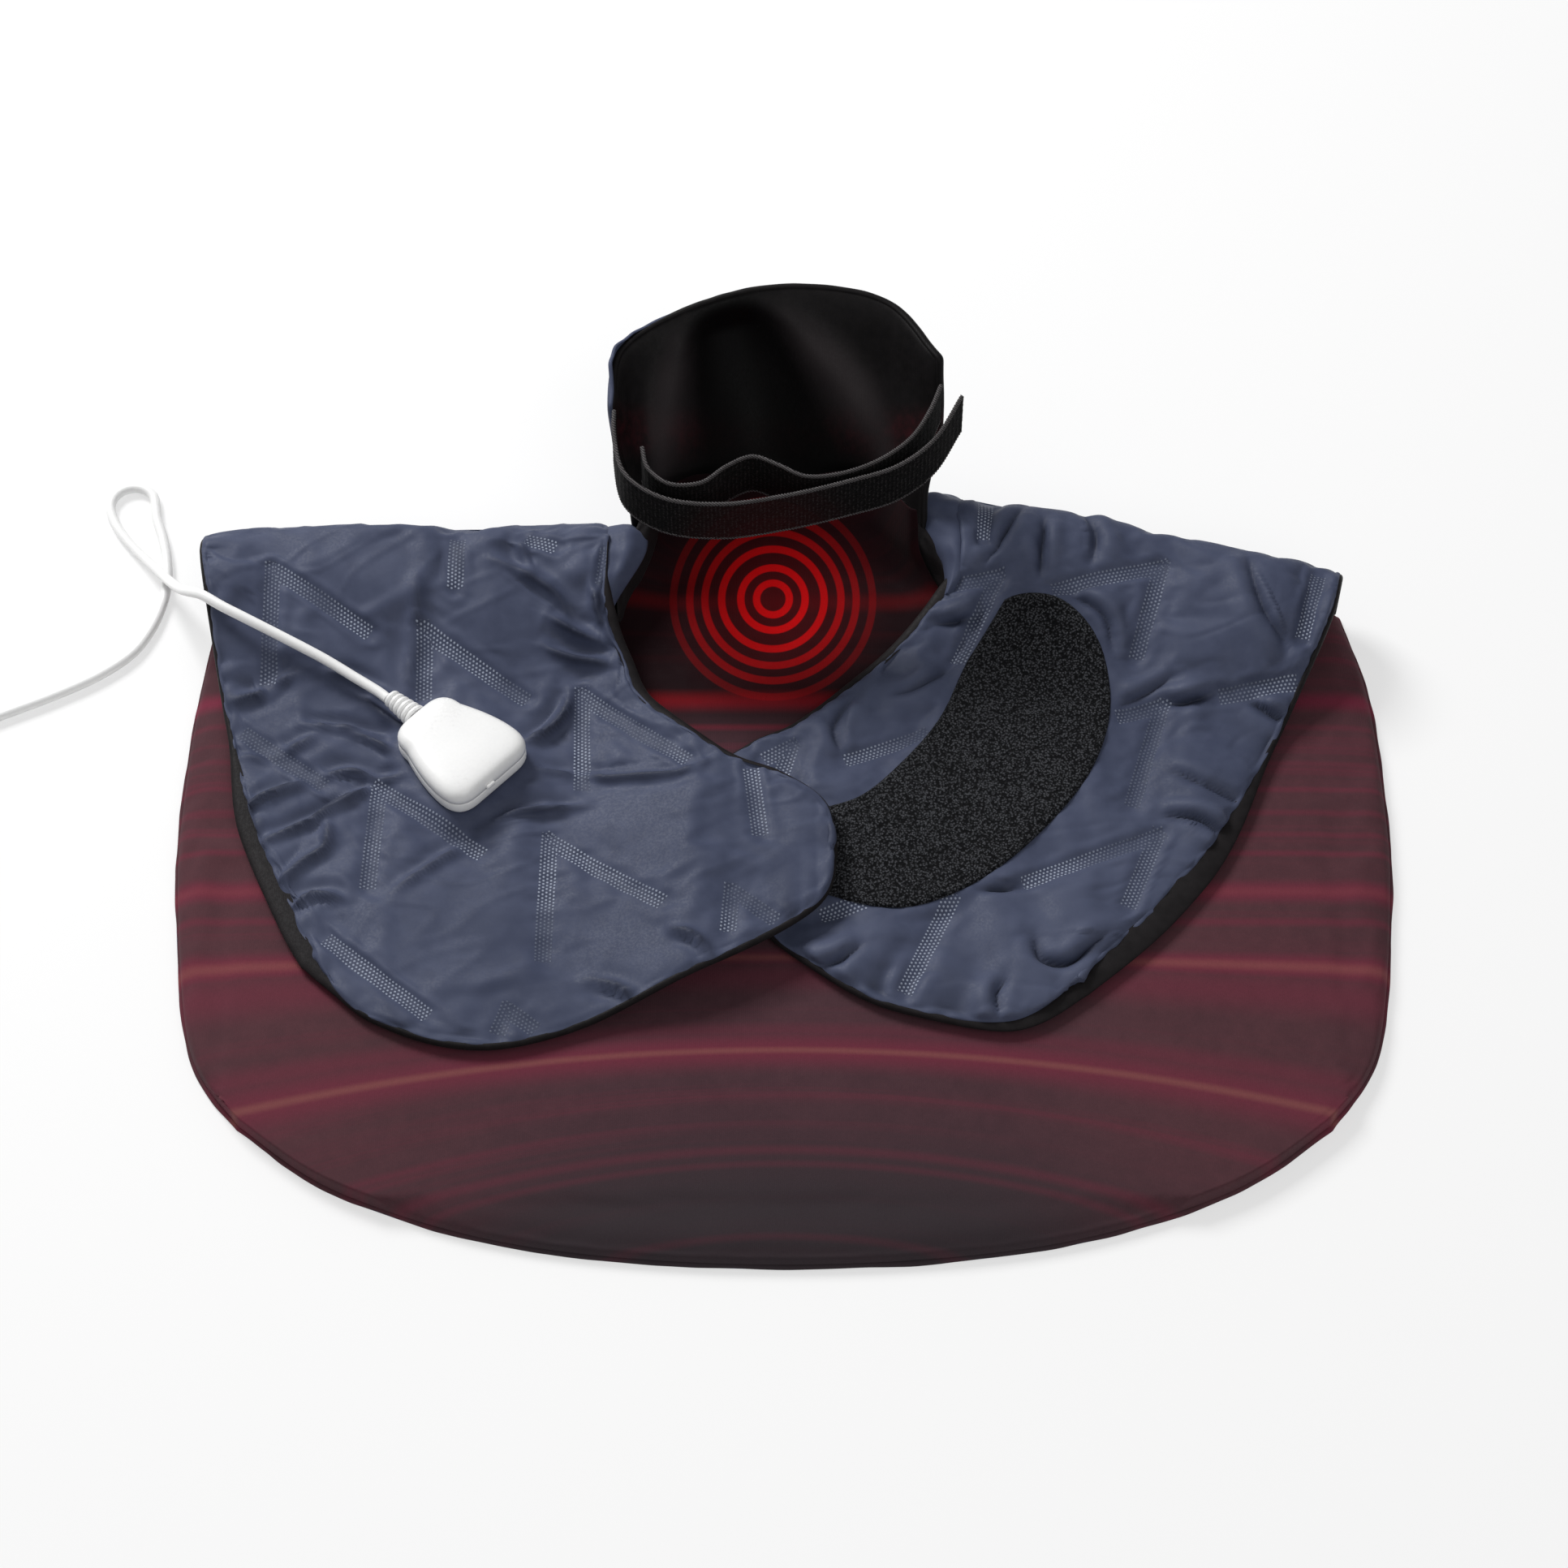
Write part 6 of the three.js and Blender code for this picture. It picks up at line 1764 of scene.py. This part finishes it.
# Painted glow: the rings' centre, each ring's radius and strength, and how far the painted halo reaches
heat_ring_centre = (-0.0054, 0.1427)
heat_rings = [(0.008, 1.0), (0.0157, 0.97), (0.025, 0.78), (0.0332, 0.5), (0.0406, 0.34),
              (0.0486, 0.16)]
ring_half, ring_flat = 0.00215, 0.0014
halo_reach = 0.062


def seen_height(y, z):
    """Height of a place as the eye takes it from in front and above, so that the round painted
    glow rings stay round over cloth that rises."""
    return y * 0.819 + z * 0.574


def painted_glow_rings(x, y, z):
    """Painted glow: the rings of heat, and the glow that fades out round them, painted into the colour.
    """
    ring_x = x - heat_ring_centre[0]
    ring_y = seen_height(y, z) - heat_ring_centre[1]
    away = (ring_x * ring_x + ring_y * ring_y).calc("SQRT")
    marks = [band_at(away, radius, ring_half, ring_flat) * power for radius, power in heat_rings]
    return most_of(marks), away.ramp(0.0, halo_reach, 1.0, 0.0)


def streaks(x, row, stretch, grain, shift, detail, roughness=0.5):
    """Noise drawn out along the rows."""
    place = amount(x.tree, "CombineXYZ", {0: x * stretch, 1: row * grain, 2: shift})
    return speckle(place, 1.0, detail, roughness)


def warm_lining():
    """Dark maroon lining: streaks and bands of deep red across it, charcoal towards the hem, with
    painted highlight lines, painted shade by the collar's foot and painted glowing rings.
    """
    paint, finish, place = new_paint("maroon_lining", 0.86, 0.08, 0.03, 0.5)
    x, y, z = place.parts()
    past = y - bow_start
    bowed = past.calc("MINIMUM", 0.0) / (x * x * bow_growth + 1.0)
    row = past.most(0.0) + bowed + bow_start
    aside = abs(x).ramp(0.06, 0.22)
    streak = streaks(x, row, 1.1, 120.0, 0.0, 3.0, 0.6)
    glow = streaks(x, row, 1.4, 24.0, 4.0, 1.0)
    inside = y.ramp(0.07, 0.112) * abs(x).ramp(0.085, 0.11, 1.0, 0.0)
    hem = row.ramp(-0.108, -0.17) * aside.ramp(0.0, 1.0, 1.0, 0.4)
    streaky = glow.ramp(0.36, 0.66, 0.06, 0.42) * (inside.most(hem) * -0.75 + 1.0)
    bands = [streak.ramp(0.44, 0.74) * streaky]
    bands += [band_at(row, middle, half) * aside.ramp(0.0, 1.0, centre, side)
              for middle, half, centre, side in lining_bands]
    shade = drift_of(place, 9.0, 140.0)
    cloth = aside.mix(shade.mix((0.063, 0.0285, 0.036), (0.08, 0.0365, 0.045)),
                      shade.mix((0.075, 0.031, 0.038), (0.097, 0.039, 0.047)))
    cloth = (hem * 0.9).mix(cloth, (0.036, 0.0295, 0.034))
    # Painted shade: the neck zone by the collar's foot is painted near black
    cloth = inside.mix(cloth, (0.0095, 0.0022, 0.0034))
    band_colour = inside.mix((0.19, 0.026, 0.052), (0.15, 0.0015, 0.004))
    colour = (most_of(bands) * (1.0 - hem * 0.35)).mix(cloth, band_colour)
    # Painted highlight lines along the bands
    lines = [band_at(row, middle, half) * power for middle, half, power in painted_highlight_lines]
    colour = most_of(lines).mix(colour, (0.27, 0.105, 0.085))
    # Painted glow: the heat rings and their halo are painted into the lining's colour
    rings, halo = painted_glow_rings(x, y, z)
    front = y.ramp(0.187, 0.184).most(z.ramp(0.0105, 0.0118))
    colour = (halo * (inside * front) * 0.75).mix(colour, (0.08, 0.0006, 0.002))
    colour = (rings * front).mix(colour, (0.62, 0.0005, 0.002))
    height, slub = threads_of(place, 0.0009, 1.0)
    colour = (slub * 0.2).mix(colour, (0.012, 0.008, 0.01))
    finished(finish, colour, shade.ramp(0.0, 1.0, 0.76, 0.88), bumped(height, 0.35, 0.00012))
    return paint


def dark_cloth(name, dark, light, roughness, pitch, red_band_and_painted_fold_shade=False):
    paint, finish, place = new_paint(name, roughness, 0.12, 0.03, 0.4)
    shade = drift_of(place, 16.0, 200.0)
    height, slub = threads_of(place, pitch, 1.0)
    colour = shade.mix(dark, light)
    if red_band_and_painted_fold_shade:
        _, y, z = place.parts()
        band = band_at(seen_height(y, z), 0.222, 0.016) * shade
        colour = (band * 0.7).mix(colour, (0.055, 0.004, 0.008))
        # Painted shade in the collar's fall and painted highlight on its ridges
        fall, painted_ridge_highlight, _ = uv_of(place, "relief")
        colour = (fall * 0.92).mix(colour, (0.0008, 0.0006, 0.0007))
        colour = (painted_ridge_highlight * 0.8).mix(colour, (0.036, 0.029, 0.031))
    finished(finish, colour, slub.ramp(0.3, 0.7, roughness - 0.06, roughness + 0.06),
             bumped(height, 0.3, 0.0001))
    return paint


def fuzzy(name, dark, light, scale, ribs=0.0):
    """Short looped or hooked pile, in tufts; ribs is the pitch of upright rows, if any."""
    paint, finish, place = new_paint(name, 0.95, 0.05, 0.03, 0.6)
    cells = amount(place.tree, "TexVoronoi", {"Vector": place, "Scale": scale}, "Distance")
    pile = speckle(place, scale * 1.6, 4.0, 0.7) * (1.25 - cells)
    if ribs:
        x, y, z = place.parts()
        # The ribs are painted lighter and darker in turn, as painted light on them; the same ribs also
        # raise the bump
        pile = pile * 0.75 + (x * (full_turn / ribs)).calc("SINE") * 0.12
    colour = pile.ramp(0.3, 0.62).mix(dark, light)
    if ribs:
        # Painted glow: the heat rings and their halo painted over the strap
        rings, halo = painted_glow_rings(x, y, z)
        colour = (rings.most(halo) * 0.6).mix(colour, (0.06, 0.001, 0.002))
    finished(finish, colour, normal=bumped(pile, 0.9, 0.0009))
    return paint


def moulded(name, dark, light, roughness, coat=0.0):
    """Plastic with a faint moulding texture."""
    paint, finish, place = new_paint(name, roughness, coat=coat)
    shade = drift_of(place, 30.0, 700.0)
    finished(finish, shade.mix(dark, light),
             shade.ramp(0.0, 1.0, roughness - 0.05, roughness + 0.07),
             bumped(speckle(place, 1800.0, 2.0), 0.12, 0.00005))
    return paint


def brushed_steel():
    paint, finish, place = new_paint("bright_steel", 0.3)
    finish.inputs["Metallic"].default_value = 1
    stretched = amount(place.tree, "Mapping", {"Vector": place, "Scale": (1.0, 12.0, 1.0)})
    grain = speckle(stretched, 700.0, 3.0)
    finished(finish, grain.mix((0.55, 0.56, 0.58), (0.72, 0.73, 0.75)),
             grain.ramp(0.3, 0.7, 0.22, 0.4))
    return paint


def twisted_thread():
    paint, finish, place = new_paint("overlock_thread", 0.75, 0.2, 0.05, 0.5)
    x, y, z = place.parts()
    # The pale stripes along the twist are painted highlight; the drift below is the thread's own tone
    stripe = ((x + y + z * 1.4) * 3900.0).calc("SINE") * 0.5 + 0.5
    colour = stripe.mix((0.006, 0.0055, 0.006), (0.13, 0.12, 0.122))
    colour = (drift_of(place, 60.0, 900.0) * 0.4).mix(colour, (0.02, 0.018, 0.019))
    finished(finish, colour, normal=bumped(stripe, 0.4, 0.0003))
    return paint


def mark_channels(piece, side):
    """Writes, for each face, how its corners lie along and across the nearest channel."""
    mesh = piece.data
    flat = read_uv(piece, "flat") / mm
    totals = np.empty(len(mesh.polygons), np.int64)
    mesh.polygons.foreach_get("loop_total", totals)
    face_of = np.repeat(np.arange(len(totals)), totals)
    centres = np.zeros((len(totals), 2))
    np.add.at(centres, face_of, flat)
    centres /= totals[:, None]
    best = np.full(len(centres), 12.0)
    strip, limit = np.full((len(flat), 2), 99.0), np.full((len(flat), 2), -9.0)
    for corner, ahead, length, start, first, last in channel_runs(side):
        aside = np.array((-ahead[1], ahead[0]))
        s, t = (centres - corner) @ ahead, (centres - corner) @ aside
        distance = np.hypot(np.maximum(np.maximum(-s, s - length), 0), t)
        nearer = distance < best
        best[nearer] = distance[nearer]
        chosen = nearer[face_of]
        s, t = (flat - corner) @ ahead, (flat - corner) @ aside
        reach = np.minimum(s if first else s + 4.4, length - s if last else length - s + 4.4)
        strip[chosen] = np.stack([start + s, t], axis=1)[chosen]
        limit[chosen, 0] = reach[chosen]
    write_uv(piece, "channel", strip)
    write_uv(piece, "channel_end", limit)


# The whole object

woven_threads = weave_group()
cloth_shading = shade_group()
pressed_dots = dots_group()
satin_dark, satin_light = (0.048, 0.058, 0.101), (0.066, 0.078, 0.13)
shell_satin = satin("shell_satin", satin_dark, satin_light, dots=False)
# The channel satin carries the pressed dots and the painted crease shade and highlight
channel_satin = satin("channel_satin", satin_dark, satin_light, dots=True)
maroon_lining = warm_lining()
black_lining = dark_cloth("black_lining", (0.007, 0.006, 0.0065), (0.014, 0.012, 0.013), 0.6, 0.0009)
collar_black = dark_cloth("collar_black", (0.0035, 0.003, 0.0033), (0.0085, 0.0072, 0.0078), 0.52,
                          0.0009, red_band_and_painted_fold_shade=True)
hook_black = fuzzy("hook_black", (0.0015, 0.0013, 0.0014), (0.034, 0.03, 0.031), 760.0, 0.0019)
loop_black = fuzzy("loop_black", (0.004, 0.0042, 0.005), (0.085, 0.088, 0.098), 900.0)
overlock_thread = twisted_thread()
moulded_white = moulded("moulded_white", (0.88, 0.88, 0.875), (0.92, 0.92, 0.915), 0.32, 0.15)
white_cord = moulded("white_cord", (0.86, 0.86, 0.855), (0.9, 0.9, 0.895), 0.42)
button_grey = moulded("button_grey", (0.5, 0.51, 0.52), (0.57, 0.58, 0.59), 0.5)
smoked_window = moulded("smoked_window", (0.012, 0.013, 0.017), (0.018, 0.019, 0.024), 0.1, 0.5)
board_green = moulded("board_green", (0.02, 0.11, 0.045), (0.03, 0.15, 0.06), 0.45)
wire_red = moulded("wire_red", (0.3, 0.035, 0.025), (0.38, 0.05, 0.035), 0.5)
bright_steel = brushed_steel()

studio()
screws = ["controller_screw_%d" % number for number in (1, 2, 3, 4)]
for finish, names in (
        (wire_red, ["back_heating_wire", "left_heating_wire", "right_heating_wire"]),
        (moulded_white, ["connector_plate", "controller_back", "controller_front"]),
        (board_green, ["controller_board"]), (smoked_window, ["display_window"]),
        (bright_steel, ["cut_out_left", "cut_out_right", "plug_blade_left", "plug_blade_right"]
         + screws)):
    for name in names:
        for slot in nodes[name].material_slots:
            slot.material = finish

wire_cover = 9.95
flap_pressure, flap_spare = 4.0, 0.022
flap_most, lining_most = 5.5 * mm, 2.5 * mm
fine_enough = 22000


def finish_pad(piece, body, slot, fill, *stands_for):
    """A cloth's thickness, and a finer mesh where it is still coarse."""
    if len(piece.data.vertices) < fine_enough:
        subdivided(piece)
    thickened(piece, 1.0 * mm, 0)
    apply_modifiers(piece)
    smooth_shade(piece)
    settle(piece, body, slot, *stands_for, fill=fill)


def over_wires(piece):
    """Keeps the lining above the heating wire: where it would sink, it levels out softly."""
    places = places_of(piece)
    low, soft = wire_cover * mm, 0.7 * mm
    over_panel = (np.abs(places[:, 0]) < 252 * mm) & (places[:, 1] > -165 * mm)
    sunk = over_panel & (places[:, 2] < low + soft) & (places[:, 2] > 4 * mm)
    places[sunk, 2] = low + soft * np.exp((places[sunk, 2] - low - soft) / soft)
    set_places(piece, places)


def make_pads():
    shells = {side: flap_shell(side) for side in ("left", "right")}
    lining, lining_held = back_lining_pad()
    swollen([(piece, held, flap_pressure, flap_spare, flap_most) for piece, held in shells.values()]
            + [(lining, lining_held, 0.6, 0.004, lining_most)])
    over_wires(lining)
    for side, (piece, _) in shells.items():
        flap = side + "_flap"
        subdivided(piece)
        apply_modifiers(piece)
        crease_satin(piece, side)
        finish_pad(piece, flap, "shell_fabric", 0.6, flap + "_shell", flap + "_wadding")
        mark_channels(piece, side)
        edge = flap_lining(side)
        subdivided(edge)
        apply_modifiers(edge)
        smooth_shade(edge)
        settle(edge, flap, "black_lining", flap + "_lining", fill=0.3)
    finish_pad(lining, "back", "maroon_lining", 0.5, "back_lining", "back_wadding")
    shell = back_shell_cloth()
    facing_out(shell)
    finish_pad(shell, "back", "shell_fabric", 0.3, "back_shell")


make_pads()
make_neck_lining()
make_collar()
for side in ("left", "right"):
    make_neck_gusset(side)
    make_neck_corner(side)
    make_shoulder_fold(side)
make_strap("strap_outer", strap_outer, "outer_strap", 3)
make_strap("strap_inner", strap_inner, "back", 17)
make_loop_patch()
make_hook_patch()
make_connector()
controller_pieces = make_controller()
plug_pieces = make_plug()
control_tie = make_tie("control_coil_tie", control_coil, 200)
mains_tie = make_tie("mains_coil_tie", mains_coil, 230)
make_cords()
